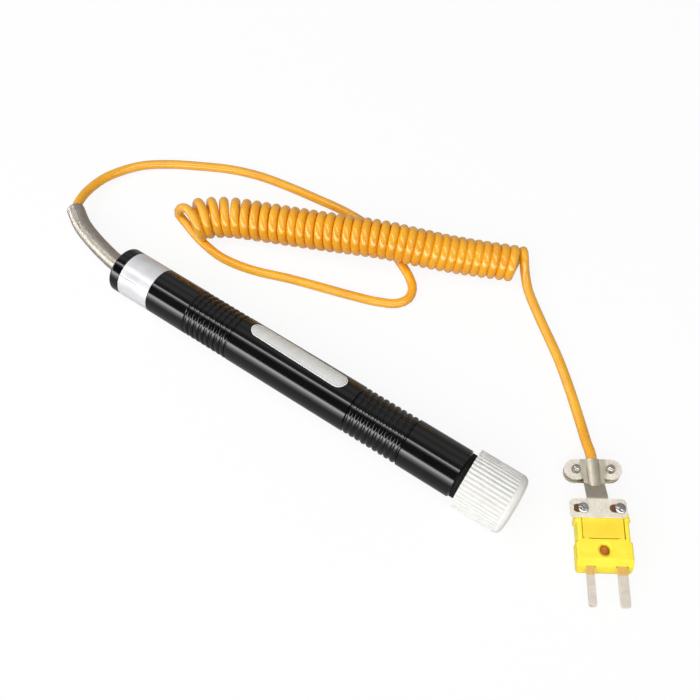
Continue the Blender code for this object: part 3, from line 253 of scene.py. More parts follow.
PLUG = (
    Matrix.Translation((99.95 * MM, 4.05 * MM, 7.9 * MM * math.sin(math.radians(8.1))))
    @ Matrix.Rotation(math.radians(30.3), 4, "Z")
    @ Matrix.Rotation(math.radians(-8.1), 4, "Y")
)
towards_cord = PLUG.col[1].xyz
plug_at = PLUG.translation.dot(towards_cord)
# Painted light: a warm orange tint on the blades' roots, where the nose glows on them.
tint_along(finishes["blade_nickel"], towards_cord, plug_at - 6.9 * MM, plug_at - 6.3 * MM, (0.82, 0.50, 0.14))

# %% [markdown]
# The solids that stay in view keep their shape and get the finish of their own material slot. Those that
# a better piece replaces further down get it too, which does no harm.

# %% Finishes on the solids
slots = {row["node"]: row["material_slot"] for row in frame["record"]["subparts"]}
for node, piece in frame["nodes"].items():
    piece.data.materials.clear()
    piece.data.materials.append(finishes[slots[node]])
print("painted:", len(slots))

# %% [markdown]
# ## The cord
#
# The cord is one length of 3 mm cable: it starts in the handle, leaves through the spring, runs out and
# back over the table, winds into a coil of 36 turns, and ends in the plug's clamp. It is drawn as one
# curve with a round section. Its straight parts go smoothly through chosen points, and the coil is a
# helix whose pitch, lean and radius follow three short rules.

# %% A smooth line through points
def smooth_line(points, spacing):
    """Points a given distance apart on a smooth curve through the given ones."""
    ways = []
    for i, point in enumerate(points):
        before = point - points[i - 1] if i else None
        after = points[i + 1] - point if i < len(points) - 1 else None
        if before is None or after is None:
            ways.append((after or before).normalized())
            continue
        mixed = before / before.length * after.length + after / after.length * before.length
        ways.append(mixed / (before.length + after.length))
    fine = []
    for i in range(len(points) - 1):
        length = (points[i + 1] - points[i]).length
        for step in range(24):
            t = step / 24
            place = points[i] * (2 * t**3 - 3 * t**2 + 1) + points[i + 1] * (3 * t**2 - 2 * t**3)
            place += ways[i] * length * (t**3 - 2 * t**2 + t) + ways[i + 1] * length * (t**3 - t**2)
            fine.append(place)
    fine.append(points[-1])
    return even_line(fine, spacing)


def even_line(points, spacing):
    """The same line with its points evenly apart."""
    travel = [0.0]
    for a, b in zip(points, points[1:]):
        travel.append(travel[-1] + (b - a).length)
    count = max(2, round(travel[-1] / spacing))
    result = []
    k = 0
    for i in range(count + 1):
        want = travel[-1] * i / count
        while k < len(travel) - 2 and travel[k + 1] < want:
            k += 1
        share = (want - travel[k]) / max(travel[k + 1] - travel[k], 1e-12)
        result.append(points[k].lerp(points[k + 1], min(share, 1.0)))
    return result


def in_mm(*points):
    return [Vector(point) * MM for point in points]


# %% [markdown]
# The handle lies on its rear edge and its cap's rim, so its axis leans by less than a degree. One matrix
# holds that lean, and everything on the handle is made along a plain Z axis and then laid down with it.

# %% The handle's axis
HANDLE_RADIUS = 7.7 * MM
HANDLE_LENGTH = 128.4 * MM
CAP_RADIUS = 9.38 * MM
CAP_LENGTH = 17.8 * MM
CAP_RIM_AT = HANDLE_LENGTH + 1.8 * MM
EDGE = 1.0 * MM
TILT = math.atan2(CAP_RADIUS - HANDLE_RADIUS, CAP_RIM_AT - EDGE)
TOTAL_LENGTH = CAP_RIM_AT + CAP_LENGTH
REAR = Vector((
    -(TOTAL_LENGTH * math.cos(TILT) - (HANDLE_RADIUS - EDGE) * math.sin(TILT)) / 2,
    0.0,
    HANDLE_RADIUS * math.cos(TILT) - EDGE * math.sin(TILT),
))
HANDLE = Matrix.Translation(REAR) @ Matrix.Rotation(math.pi / 2 - TILT, 4, "Y")
SPRING_ROUTE = in_mm(
    (-4.2, 0.3, 0.0), (-10.6, 1.5, -0.1), (-17.3, 3.2, -0.4), (-24.2, 5.6, -0.8), (-30.7, 9.3, -1.3),
)
spring_line = [HANDLE @ Vector((0, 0, 5.85 * MM)), REAR] + [REAR + step for step in SPRING_ROUTE]
print("rear end at", [round(v / MM, 2) for v in REAR], "lean", round(math.degrees(TILT), 2), "degrees")

# %% The cord's straight parts
CORD_RADIUS = 1.57 * MM
REAR_ROUTE = in_mm(
    (-106.9, 14.5, 5.7), (-107.95, 20.5, 4.4), (-107.5, 26.9, 3.2), (-105.2, 32.9, 2.3), (-101.3, 38.6, 1.8),
    (-93.1, 45.0, 1.6), (-83.2, 50.5, 1.6), (-73.4, 55.3, 1.6), (-62.7, 58.8, 1.6), (-50.9, 60.8, 1.6),
    (-38.8, 62.1, 1.6), (-27.1, 63.0, 1.6), (-18.8, 62.6, 1.6), (-9.0, 59.8, 1.6), (0.3, 55.6, 1.6),
    (5.4, 52.6, 1.6), (8.7, 49.4, 1.6), (9.6, 45.4, 1.6), (7.3, 41.6, 1.6), (2.7, 39.1, 1.6),
    (-7.3, 35.7, 1.6), (-17.8, 32.7, 1.6), (-29.1, 29.4, 1.6), (-39.3, 25.9, 1.6), (-47.0, 24.2, 1.6),
    (-53.8, 23.7, 1.62), (-59.3, 24.4, 1.65), (-64.1, 25.4, 1.8), (-67.9, 26.4, 2.5), (-71.3, 27.4, 3.7),
    (-73.8, 27.8, 5.6),
)
FRONT_ROUTE = in_mm(
    (36.0, 75.9, 7.0), (37.3, 74.8, 4.6), (39.3, 72.8, 2.65), (41.6, 70.3, 1.78), (44.9, 67.2, 1.64),
    (50.8, 62.1, 1.62), (62.1, 52.6, 1.64), (70.8, 44.0, 1.7), (75.7, 38.6, 2.05), (79.1, 34.5, 2.8),
    (81.7, 31.1, 3.8),
)
INTO_CLAMP = [PLUG @ point for point in in_mm((-0.9, 28.4, 3.9), (-0.9, 26.9, 3.9), (-0.9, 14.2, 3.9))]
print("chosen points:", len(REAR_ROUTE) + len(FRONT_ROUTE))

# %% [markdown]
# The coil's turns lie side by side. At its left end they fan out and lean back, where the cord was pulled
# last, and to the right they close up and lean a little the other way. The helix climbs over the far side
# and comes down the near side as it moves right.

# %% The coil
COIL_ROUTE = in_mm(
    (-64.5, 31.2, 7.2), (-58.6, 35.2, 7.2), (-45.7, 41.0, 7.45), (-36.4, 44.6, 7.9), (-27.1, 48.0, 8.7),
    (-16.7, 52.0, 9.6), (-6.5, 56.1, 9.95), (3.6, 60.2, 9.0), (13.6, 64.7, 7.6), (23.5, 69.5, 6.6),
    (30.0, 72.6, 6.35), (36.4, 75.4, 6.28),
)
TURNS = 36
STEPS_A_TURN = 24
COIL_STEP = 0.25 * MM
coil_axis = smooth_line(COIL_ROUTE, COIL_STEP)
coil_length = COIL_STEP * (len(coil_axis) - 1)


def on_coil_axis(reach):
    """A point on the coil's axis and the ways along, away from the handle and up, at a reach."""
    k = max(0, min(len(coil_axis) - 3, int(reach / COIL_STEP)))
    along = (coil_axis[min(k + 3, len(coil_axis) - 1)] - coil_axis[max(k - 3, 0)]).normalized()
    step = reach / COIL_STEP - k
    point = coil_axis[k] + (coil_axis[k + 1] - coil_axis[k]) * step
    far = Vector((0, 0, 1)).cross(along).normalized()
    return point, far, along.cross(far)


def coil_point(turn):
    """The cord's centre after so many turns of the coil, counted from its first top."""
    stretched = 2.6 * math.sin(math.pi * min(max(turn / 33, 0.0), 1.0)) ** 1.2
    packed = (-2.3 + 3.03 * (turn - 0.5) + 2.3 * (1 - math.exp(-(turn - 0.5) / 5)) + stretched) * MM
    lean = (6.0 * math.exp(-turn / 1.6) - 2.0 * (max(turn, 0.0) / 35) ** 1.2) * MM
    angle = math.radians(25) + math.tau * turn
    bulge = (3.2 * math.exp(-turn / 1.3) + 0.6 * math.exp(-turn / 6)) * MM * ((1 + math.sin(angle)) / 2) ** 2
    first_foot = 1.0 * MM * math.exp(-22.0 * (turn - 0.5) ** 2)
    reach = packed - lean * (1 + math.cos(math.tau * turn)) / 2 + bulge + first_foot
    radius = 5.55 * MM - 0.92 * MM * min(max(reach / coil_length, 0.0), 1.0)
    droop = 0.15 * MM + 2.7 * MM * math.exp(-1.8 * max(turn, 0.0))
    point, far, up = on_coil_axis(reach)
    return point + far * (radius * math.cos(angle) - droop) + up * radius * math.sin(angle)


coil_line = [coil_point(i / STEPS_A_TURN) for i in range(TURNS * STEPS_A_TURN + 1)]
print("coil:", TURNS, "turns,", round(sum((b - a).length for a, b in zip(coil_line, coil_line[1:])), 3), "m")

# %% The cord as one curve
lead_in = [HANDLE @ Vector((0, 0, 14.0 * MM))] + spring_line + REAR_ROUTE + coil_line[:2]
lead_out = coil_line[-2:] + FRONT_ROUTE + INTO_CLAMP
line = smooth_line(lead_in, 2.0 * MM)[:-1] + coil_line + smooth_line(lead_out, 2.0 * MM)[1:]

cord_curve = bpy.data.curves.new("cord", "CURVE")
cord_curve.dimensions = "3D"
cord_curve.bevel_depth = CORD_RADIUS
cord_curve.bevel_resolution = 5
cord_curve.use_fill_caps = True
spline = cord_curve.splines.new("POLY")
spline.points.add(len(line) - 1)
for point, place in zip(spline.points, line):
    point.co = (*place, 1.0)
spline.use_smooth = True
cord_curve.materials.append(finishes["cord_orange"])
cord = bpy.data.objects.new("cord", cord_curve)
bpy.context.scene.collection.objects.link(cord)
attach(cord, "probe")
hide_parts("cord_lead_rear", "cord_coil", "cord_lead_front")

# %% [markdown]
# ## Making pieces
#
# Three helpers make most pieces. One turns a profile into a closed round body. One runs a Geometry Nodes
# tree and keeps its result as a plain mesh. One copies a solid, welds it and rounds its edges, since
# moulded and stamped pieces never have knife edges, and a rounded edge catches the light.

# %% Helpers for pieces
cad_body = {node: body for body, nodes in frame["record"]["behaviour"]["bodies"].items() for node in nodes}


def add_piece(name, mesh, body, slot, *nodes, finish=None):
    """Link a finished mesh as a piece that rides on a body and stands for some solids."""
    if not mesh.materials:
        mesh.materials.append(finishes[finish or slot])
    piece = bpy.data.objects.new(name, mesh)
    bpy.context.scene.collection.objects.link(piece)
    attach(piece, body)
    if nodes:
        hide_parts(*nodes)
    print(name, "faces:", len(mesh.polygons))
    return piece


def lathe(name, profile, sides, place, sharp=35.0):
    """A closed body turned from (radius, height) points that go round its section."""
    edit = bmesh.new()
    rings = []
    for radius, height in profile:
        count = sides if radius > 1e-9 else 1
        ring = []
        for i in range(count):
            angle = math.tau * i / count
            ring.append(edit.verts.new((radius * math.cos(angle), radius * math.sin(angle), height)))
        rings.append(ring)
    closing = [] if len(rings[0]) == 1 else [(rings[-1], rings[0])]
    for a, b in list(zip(rings, rings[1:])) + closing:
        for i in range(sides):
            corners = [a[i % len(a)], a[(i + 1) % len(a)], b[(i + 1) % len(b)], b[i % len(b)]]
            unique = list(dict.fromkeys(corners))
            if len(unique) > 2:
                edit.faces.new(unique)
    bmesh.ops.recalc_face_normals(edit, faces=edit.faces)
    mesh = bpy.data.meshes.new(name)
    edit.to_mesh(mesh)
    edit.free()
    mesh.transform(place)
    mesh.shade_smooth()
    mesh.set_sharp_from_angle(angle=math.radians(sharp))
    return mesh


def arc(x, y, radius, start, end, steps):
    """Points on an arc, its angles in degrees."""
    turns = [math.radians(start + (end - start) * i / steps) for i in range(steps + 1)]
    return [(x + radius * math.cos(turn), y + radius * math.sin(turn)) for turn in turns]


def rounded_copy(name, node, edge, angle=25.0, segments=3):
    """A solid's welded copy whose edges are rounded."""
    edit = bmesh.new()
    edit.from_mesh(frame["nodes"][node].data)
    bmesh.ops.remove_doubles(edit, verts=edit.verts, dist=0.001 * MM)
    bmesh.ops.dissolve_limit(edit, angle_limit=math.radians(0.5), verts=edit.verts, edges=edit.edges)
    mesh = bpy.data.meshes.new(name)
    edit.to_mesh(mesh)
    edit.free()
    mesh.shade_smooth()
    piece = add_piece(name, mesh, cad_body[node], slots[node], node)
    rounding = piece.modifiers.new("rounding", "BEVEL")
    rounding.width = edge
    rounding.segments = segments
    rounding.limit_method = "ANGLE"
    rounding.angle_limit = math.radians(angle)
    evening = piece.modifiers.new("evening", "WEIGHTED_NORMAL")
    evening.weight = 90
    return piece


# %% Helpers for node trees
def geometry_tree(name, sizes):
    """An empty tree with a geometry input and output, and a named input for each size."""
    tree = bpy.data.node_groups.new(name, "GeometryNodeTree")
    tree.interface.new_socket("Geometry", in_out="INPUT", socket_type="NodeSocketGeometry")
    for label, value in sizes.items():
        kind = "NodeSocketInt" if isinstance(value, int) else "NodeSocketFloat"
        tree.interface.new_socket(label, in_out="INPUT", socket_type=kind)
    tree.interface.new_socket("Geometry", in_out="OUTPUT", socket_type="NodeSocketGeometry")
    given = tree.nodes.new("NodeGroupInput")
    return tree, given.outputs


def add_node(tree, kind, links=None, values=None, **settings):
    """A node with its settings, its inputs linked or set by name or number."""
    node = tree.nodes.new(kind)
    for label, value in settings.items():
        setattr(node, label, value)
    for key, value in (values or {}).items():
        node.inputs[key].default_value = value
    for key, source in (links or {}).items():
        tree.links.new(source, node.inputs[key])
    return node


def math_node(tree, operation, a, b=None):
    """Two values, linked or plain, through one Math node."""
    node = tree.nodes.new("ShaderNodeMath")
    node.operation = operation
    for i, value in enumerate((a, b)):
        if value is None:
            continue
        if isinstance(value, (int, float)):
            node.inputs[i].default_value = value
        else:
            tree.links.new(value, node.inputs[i])
    return node.outputs[0]


def finish_tree(tree, geometry, material):
    """Realize the instances, set the material, and end the tree."""
    real = add_node(tree, "GeometryNodeRealizeInstances", {"Geometry": geometry})
    painted = add_node(tree, "GeometryNodeSetMaterial", {"Geometry": real.outputs["Geometry"]},
                       {"Material": material})
    end = tree.nodes.new("NodeGroupOutput")
    tree.links.new(painted.outputs["Geometry"], end.inputs["Geometry"])


def grow(name, tree, sizes, data=None, place=None, sharp=40.0):
    """Run a tree on data and keep its result as a plain mesh, laid in place."""
    holder = bpy.data.objects.new(name + "_seed", data or bpy.data.meshes.new(name + "_seed"))
    bpy.context.scene.collection.objects.link(holder)
    modifier = holder.modifiers.new(name, "NODES")
    modifier.node_group = tree
    for item in tree.interface.items_tree:
        if item.name in sizes:
            modifier[item.identifier] = sizes[item.name]
    holder.update_tag()
    evaluated = holder.evaluated_get(bpy.context.evaluated_depsgraph_get())
    mesh = bpy.data.meshes.new_from_object(evaluated)
    mesh.name = name
    holder.modifiers.remove(modifier)
    bpy.data.objects.remove(holder)
    if place:
        mesh.transform(place)
    mesh.shade_smooth()
    mesh.set_sharp_from_angle(angle=math.radians(sharp))
    return mesh


print("helpers ready")

# %% [markdown]
# ## The strain relief spring
#
# A close-wound steel spring keeps the cord from kinking where it leaves the handle. It is wire wound
# round the cord's own line, so the tree walks along that line and swings each point round it by a fixed
# angle. A sweep of a small circle then makes the wire.

# %% The spring
SPRING_SIZES = {"Turns": 120, "Steps": 30, "Wound Radius": 2.7 * MM, "Wire Radius": 0.3 * MM}
spring_tree, given = geometry_tree("wound_spring", SPRING_SIZES)
count = math_node(spring_tree, "MULTIPLY", given["Turns"], given["Steps"])
walk = add_node(spring_tree, "GeometryNodeResampleCurve", {"Curve": given["Geometry"], "Count": count})
index = add_node(spring_tree, "GeometryNodeInputIndex").outputs[0]
angle = math_node(spring_tree, "DIVIDE", math_node(spring_tree, "MULTIPLY", index, math.tau), given["Steps"])
normal = add_node(spring_tree, "GeometryNodeInputNormal").outputs[0]
tangent = add_node(spring_tree, "GeometryNodeInputTangent").outputs[0]
side = add_node(spring_tree, "ShaderNodeVectorMath", {0: tangent, 1: normal}, operation="CROSS_PRODUCT")
swing = []
for way, source in (("COSINE", normal), ("SINE", side.outputs[0])):
    length = math_node(spring_tree, "MULTIPLY", math_node(spring_tree, way, angle), given["Wound Radius"])
    part = add_node(spring_tree, "ShaderNodeVectorMath", {0: source, 3: length}, operation="SCALE")
    swing.append(part.outputs[0])
offset = add_node(spring_tree, "ShaderNodeVectorMath", {0: swing[0], 1: swing[1]}, operation="ADD")
wound = add_node(spring_tree, "GeometryNodeSetPosition",
                 {"Geometry": walk.outputs["Curve"], "Offset": offset.outputs[0]})
wire = add_node(spring_tree, "GeometryNodeCurvePrimitiveCircle", {"Radius": given["Wire Radius"]},
                {"Resolution": 10})
swept = add_node(spring_tree, "GeometryNodeCurveToMesh",
                 {"Curve": wound.outputs["Geometry"], "Profile Curve": wire.outputs["Curve"]},
                 {"Fill Caps": True})
finish_tree(spring_tree, swept.outputs["Mesh"], finishes["spring_steel"])

spring_curve = bpy.data.curves.new("spring_line", "CURVE")
spring_curve.dimensions = "3D"
spring_path = smooth_line(spring_line, 1.0 * MM)
spline = spring_curve.splines.new("POLY")
spline.points.add(len(spring_path) - 1)
for point, place in zip(spline.points, spring_path):
    point.co = (*place, 1.0)
spring_mesh = grow("strain_relief_spring", spring_tree, SPRING_SIZES, spring_curve)
spring = add_piece("strain_relief_spring", spring_mesh, "probe", "spring_steel", "strain_relief")

# %% [markdown]
# ## The handle
#
# The handle is a black gloss tube. Its grip rings are grooves turned into it, eight ridges near the rear
# and nine near the head. The tube is turned from one profile that steps down where the rings are, and the
# ridges are copies of one rounded ring, set along the axis at the pitch of the grooves.

# %% The handle's body
RING_PITCH = 2.05 * MM
RING_DEPTH = 0.5 * MM
RING_GROUPS = (("rear", 8, 32.0 * MM), ("front", 9, 92.7 * MM))
LABEL_AT = 4.1 * MM
LABEL_END = 15.8 * MM
BORE = 6.2 * MM

profile = [(HANDLE_RADIUS - 0.3 * MM, HANDLE_LENGTH), (HANDLE_RADIUS, HANDLE_LENGTH - 0.3 * MM)]
for _, ridges, first in reversed(RING_GROUPS):
    low = first - 0.72 * RING_PITCH
    high = first + (ridges - 1 + 0.72) * RING_PITCH
    root = HANDLE_RADIUS - RING_DEPTH
    profile += [(HANDLE_RADIUS, high), (HANDLE_RADIUS - 0.15 * MM, high - 0.1 * MM), (root, high - 0.4 * MM)]
    profile += [(root, low + 0.4 * MM), (HANDLE_RADIUS - 0.15 * MM, low + 0.1 * MM), (HANDLE_RADIUS, low)]
recess = HANDLE_RADIUS - 0.25 * MM
profile += [(HANDLE_RADIUS, LABEL_END + 0.1 * MM), (recess, LABEL_END + 0.1 * MM)]
profile += [(recess, LABEL_AT - 0.1 * MM), (HANDLE_RADIUS, LABEL_AT - 0.1 * MM)]
profile += arc(HANDLE_RADIUS - EDGE, EDGE, EDGE, 0, -90, 8)
profile += [(BORE + 0.3 * MM, 0.0), (BORE, 0.3 * MM), (BORE, HANDLE_LENGTH)]
body_mesh = lathe("handle_body", profile, 128, HANDLE)
add_piece("handle_body", body_mesh, "probe", "handle_black", "handle_grip")

# %% The grip rings
RING_SIZES = {"Ridges": 8, "Pitch": RING_PITCH, "Start": 0.032, "Core Radius": HANDLE_RADIUS - RING_DEPTH,
              "Ridge Height": RING_DEPTH, "Ridge Width": 0.78 * MM}
ring_tree, given = geometry_tree("grip_rings", RING_SIZES)
circle = add_node(ring_tree, "GeometryNodeCurvePrimitiveCircle", {"Radius": given["Core Radius"]},
                  {"Resolution": 128})
section = add_node(ring_tree, "GeometryNodeCurvePrimitiveCircle", {"Radius": given["Ridge Height"]},
                   {"Resolution": 14})
ring = add_node(ring_tree, "GeometryNodeCurveToMesh",
                {"Curve": circle.outputs["Curve"], "Profile Curve": section.outputs["Curve"]})
flat = math_node(ring_tree, "DIVIDE", given["Ridge Width"], given["Ridge Height"])
scale = add_node(ring_tree, "ShaderNodeCombineXYZ", {"Z": flat}, {"X": 1.0, "Y": 1.0})
ridge = add_node(ring_tree, "GeometryNodeTransform", {"Geometry": ring.outputs["Mesh"],
                                                      "Scale": scale.outputs[0]})
start = add_node(ring_tree, "ShaderNodeCombineXYZ", {"Z": given["Start"]})
pitch = add_node(ring_tree, "ShaderNodeCombineXYZ", {"Z": given["Pitch"]})
row = add_node(ring_tree, "GeometryNodeMeshLine",
               {"Count": given["Ridges"], "Start Location": start.outputs[0], "Offset": pitch.outputs[0]})
rings = add_node(ring_tree, "GeometryNodeInstanceOnPoints",
                 {"Points": row.outputs["Mesh"], "Instance": ridge.outputs["Geometry"]})
finish_tree(ring_tree, rings.outputs["Instances"], finishes["handle_black"])
for name, ridges, first in RING_GROUPS:
    sizes = dict(RING_SIZES, Ridges=ridges, Start=first)
    add_piece("grip_rings_" + name, grow("grip_rings_" + name, ring_tree, sizes, place=HANDLE), "probe",
              "handle_black")

# %% [markdown]
# ## The labels
#
# The rear label is a strip of silver foil wrapped once round the handle, its end laid over its start. The
# one on the grip is an oval plate with a white border and a thin grey line. Both are left bare. A flat
# outline bent round the handle gives each its curve, and the overlap is a real step in the foil.

# %% Bending a flat shape round the handle
def bend_round(across, along, radius):
    """The place on the handle of a point across and along a flat strip, at a radius."""
    turn = across / HANDLE_RADIUS
    return HANDLE @ Vector((-radius * math.cos(turn), radius * math.sin(turn), along))


FOIL_STEP = 0.06 * MM
SEAM_TURN = math.radians(-38)
SEAM_END = LABEL_AT + 0.6 * (LABEL_END - LABEL_AT)
wrap_sides = 160
edit = bmesh.new()
columns = []
for i in range(wrap_sides + 1):
    share = i / wrap_sides
    turn = SEAM_TURN - math.radians(365) * share
    radius = HANDLE_RADIUS - 0.06 * MM + FOIL_STEP * min(1.0, (1 - share) * 18)
    column = []
    for r, s in ((radius, LABEL_AT), (radius, SEAM_END), (radius, LABEL_END), (radius - 0.04 * MM, LABEL_END),
                 (radius - 0.04 * MM, LABEL_AT)):
        column.append(edit.verts.new(bend_round(turn * HANDLE_RADIUS, s, r)))
    columns.append(column)
for k, (a, b) in enumerate(zip(columns, columns[1:])):
    for i in range(5):
        face = edit.faces.new((a[i], a[(i + 1) % 5], b[(i + 1) % 5], b[i]))
        face.material_index = int(i == 0 and k == wrap_sides - 3)
edit.faces.new(columns[0])
edit.faces.new(list(reversed(columns[-1])))
bmesh.ops.recalc_face_normals(edit, faces=edit.faces)
wrap_mesh = bpy.data.meshes.new("rear_wrap")
edit.to_mesh(wrap_mesh)
edit.free()
wrap_mesh.materials.append(finishes["rear_label_silver"])
wrap_mesh.materials.append(finishes["label_line"])
wrap_mesh.shade_smooth()
wrap_mesh.set_sharp_from_angle(angle=math.radians(35))
add_piece("rear_wrap", wrap_mesh, "probe", "rear_label_silver", "rear_label")

# %% The oval plate
PLATE_LENGTH = 35.2 * MM
PLATE_WIDTH = 6.0 * MM
PLATE_TURN = math.radians(27.0)
PLATE_SKEW = math.radians(1.3)
PLATE_MIDDLE = 69.0 * MM


def oval_ring(inset, steps=24):
    """A slot-shaped ring, drawn in from the plate's outline."""
    radius = PLATE_WIDTH / 2 - inset
    reach = (PLATE_LENGTH - PLATE_WIDTH) / 2
    points = arc(reach, 0, radius, -90, 90, steps) + [(reach * (1 - i / 12), radius) for i in range(1, 24)]
    points += arc(-reach, 0, radius, 90, 270, steps) + [(-reach * (1 - i / 12), -radius) for i in range(1, 24)]
    return points


def plate_point(along, across, radius):
    c, s = math.cos(PLATE_SKEW), math.sin(PLATE_SKEW)
    x, y = along * c + across * s, across * c - along * s
    return bend_round(y + PLATE_TURN * HANDLE_RADIUS, PLATE_MIDDLE + x, radius)


edit = bmesh.new()
outer = HANDLE_RADIUS + 0.18 * MM
insets = [0.0, 0.0, 0.04, 0.4, 0.5, 0.9, 1.3, 1.7, 2.1, 2.6, PLATE_WIDTH / 2 / MM]
heights = [HANDLE_RADIUS - 0.02 * MM, outer - 0.05 * MM] + [outer] * (len(insets) - 2)
rings = []
for inset, height in zip(insets, heights):
    rings.append([edit.verts.new(plate_point(x, y, height)) for x, y in oval_ring(inset * MM)])
kinds = [1, 1, 1, 2, 0, 0, 0, 0, 0, 0]
for a, b, kind in zip(rings, rings[1:], kinds):
    for i in range(len(a)):
        face = edit.faces.new((a[i - 1], a[i], b[i], b[i - 1]))
        face.material_index = kind
bmesh.ops.remove_doubles(edit, verts=edit.verts, dist=0.002 * MM)
bmesh.ops.recalc_face_normals(edit, faces=edit.faces)
plate_mesh = bpy.data.meshes.new("grip_plate")
edit.to_mesh(plate_mesh)
edit.free()
for name in ("grip_label_silver", "label_white", "label_line"):
    plate_mesh.materials.append(finishes[name])
plate_mesh.shade_smooth()
plate_mesh.set_sharp_from_angle(angle=math.radians(50))
add_piece("grip_plate", plate_mesh, "probe", "grip_label_silver", "grip_label")

# %% [markdown]
# ## The cap
#
# The cap is a frosted cup that is pushed over the sensing head. Its side has fine straight ribs for the
# fingers, which stop short of a smooth ring at the front. The cup is turned with a side that is one rib
# lower, and the ribs are copies of one rounded bar set round it.

# %% The cap's cup
RIBS = 42
RIB_DEPTH = 0.4 * MM
front = TOTAL_LENGTH - 1.6 * MM
shoulder = front - 2.2 * MM
SOCKET = 7.5 * MM
ROOM = 7.08 * MM
profile = [(0.0, front + 0.12 * MM), (3.2 * MM, front + 0.08 * MM), (6.0 * MM, front - 0.06 * MM)]
profile += [(7.3 * MM, front - 0.22 * MM), (8.1 * MM, front - 0.45 * MM), (8.65 * MM, front - 0.8 * MM)]
profile += [(9.0 * MM, front - 1.2 * MM), (9.24 * MM, front - 1.65 * MM)]
profile += [(CAP_RADIUS - 0.02 * MM, shoulder), (CAP_RADIUS - 0.05 * MM, shoulder - 0.25 * MM)]
profile += [(CAP_RADIUS - RIB_DEPTH, shoulder - 0.45 * MM), (CAP_RADIUS - RIB_DEPTH, CAP_RIM_AT + 0.1 * MM)]
profile += [(CAP_RADIUS - RIB_DEPTH - 0.1 * MM, CAP_RIM_AT), (SOCKET + 0.15 * MM, CAP_RIM_AT)]
profile += [(SOCKET, CAP_RIM_AT + 0.15 * MM), (SOCKET, CAP_RIM_AT + 6.0 * MM), (ROOM, CAP_RIM_AT + 6.0 * MM)]
profile += [(ROOM, front - 2.0 * MM), (ROOM - 0.75 * MM, front - 1.1 * MM), (0.0, front - 1.1 * MM)]
cup_mesh = lathe("cap_cup", profile, 168, HANDLE)
cup_mesh.materials.append(finishes["cap_frosted"])
cup_mesh.materials.append(finishes["cap_groove_painted_shade"])
# The side between the ribs takes the darker groove finish, painted shade in the grooves.
to_axis = HANDLE.inverted()
for face in cup_mesh.polygons:
    if abs((to_axis @ face.center).xy.length - CAP_RADIUS + RIB_DEPTH) < 0.02 * MM:
        face.material_index = 1
add_piece("cap_cup", cup_mesh, "cap", "cap_frosted", "protective_cap")

# %% The cap's ribs
RIB_SIZES = {"Ribs": RIBS, "Core Radius": CAP_RADIUS - RIB_DEPTH, "Rib Depth": RIB_DEPTH - 0.02 * MM,
             "Rib Half Width": 0.48 * MM, "Rib Length": shoulder - 0.3 * MM - CAP_RIM_AT, "Start": CAP_RIM_AT}
rib_tree, given = geometry_tree("cap_ribs", RIB_SIZES)
bar = add_node(rib_tree, "GeometryNodeMeshCylinder", {"Depth": given["Rib Length"]},
               {"Vertices": 14, "Radius": 1.0, "Side Segments": 1}, fill_type="NGON")
section = add_node(rib_tree, "ShaderNodeCombineXYZ",
                   {"X": given["Rib Depth"], "Y": given["Rib Half Width"]}, {"Z": 1.0})
middle = math_node(rib_tree, "ADD", given["Start"], math_node(rib_tree, "MULTIPLY", given["Rib Length"], 0.5))
lift = add_node(rib_tree, "ShaderNodeCombineXYZ", {"Z": middle})
rib = add_node(rib_tree, "GeometryNodeTransform",
               {"Geometry": bar.outputs["Mesh"], "Scale": section.outputs[0], "Translation": lift.outputs[0]})
posts = add_node(rib_tree, "GeometryNodeMeshCircle",
                 {"Vertices": given["Ribs"], "Radius": given["Core Radius"]})
index = add_node(rib_tree, "GeometryNodeInputIndex").outputs[0]
turn = math_node(rib_tree, "DIVIDE", math_node(rib_tree, "MULTIPLY", index, math.tau), given["Ribs"])
facing = add_node(rib_tree, "ShaderNodeCombineXYZ", {"Z": turn})
ribs = add_node(rib_tree, "GeometryNodeInstanceOnPoints",
                {"Points": posts.outputs["Mesh"], "Instance": rib.outputs["Geometry"],
                 "Rotation": facing.outputs[0]})
finish_tree(rib_tree, ribs.outputs["Instances"], finishes["cap_frosted"])
add_piece("cap_ribs", grow("cap_ribs", rib_tree, RIB_SIZES, place=HANDLE), "cap", "cap_frosted")

# %% [markdown]
# ## The plug
#
# The plug's shells and panel are moulded, and its blades and clamp are stamped. Their solids have the
# right shapes, so each piece is a welded copy of its solid with rounded edges.

# %% The plug's shells, panel and blades
plug_pieces = [
    rounded_copy("plug_lower_body", "plug_lower_shell", 0.25 * MM),
    rounded_copy("plug_upper_body", "plug_upper_shell", 0.25 * MM),
    rounded_copy("panel_cover", "plug_panel", 0.12 * MM),
    rounded_copy("blade_narrow", "blade_positive", 0.12 * MM),
    rounded_copy("blade_wide", "blade_negative", 0.12 * MM),
    rounded_copy("cord_clamp", "clamp_bracket", 0.14 * MM, 40.0, 2),
    rounded_copy("clamp_back", "clamp_plate", 0.14 * MM),
]
plug_pieces[2].data.materials[0] = finishes["panel_yellow"]
to_plug = PLUG.inverted()
for piece in plug_pieces[:3]:
    for vertex in piece.data.vertices:
        place = to_plug @ vertex.co
        place.x = place.x * 0.975 + 0.12 * MM
        if place.y > 8.6 * MM and abs(place.x) > 6.4 * MM:
            place.x -= math.copysign(1.0 * MM, place.x)
        vertex.co = PLUG @ place
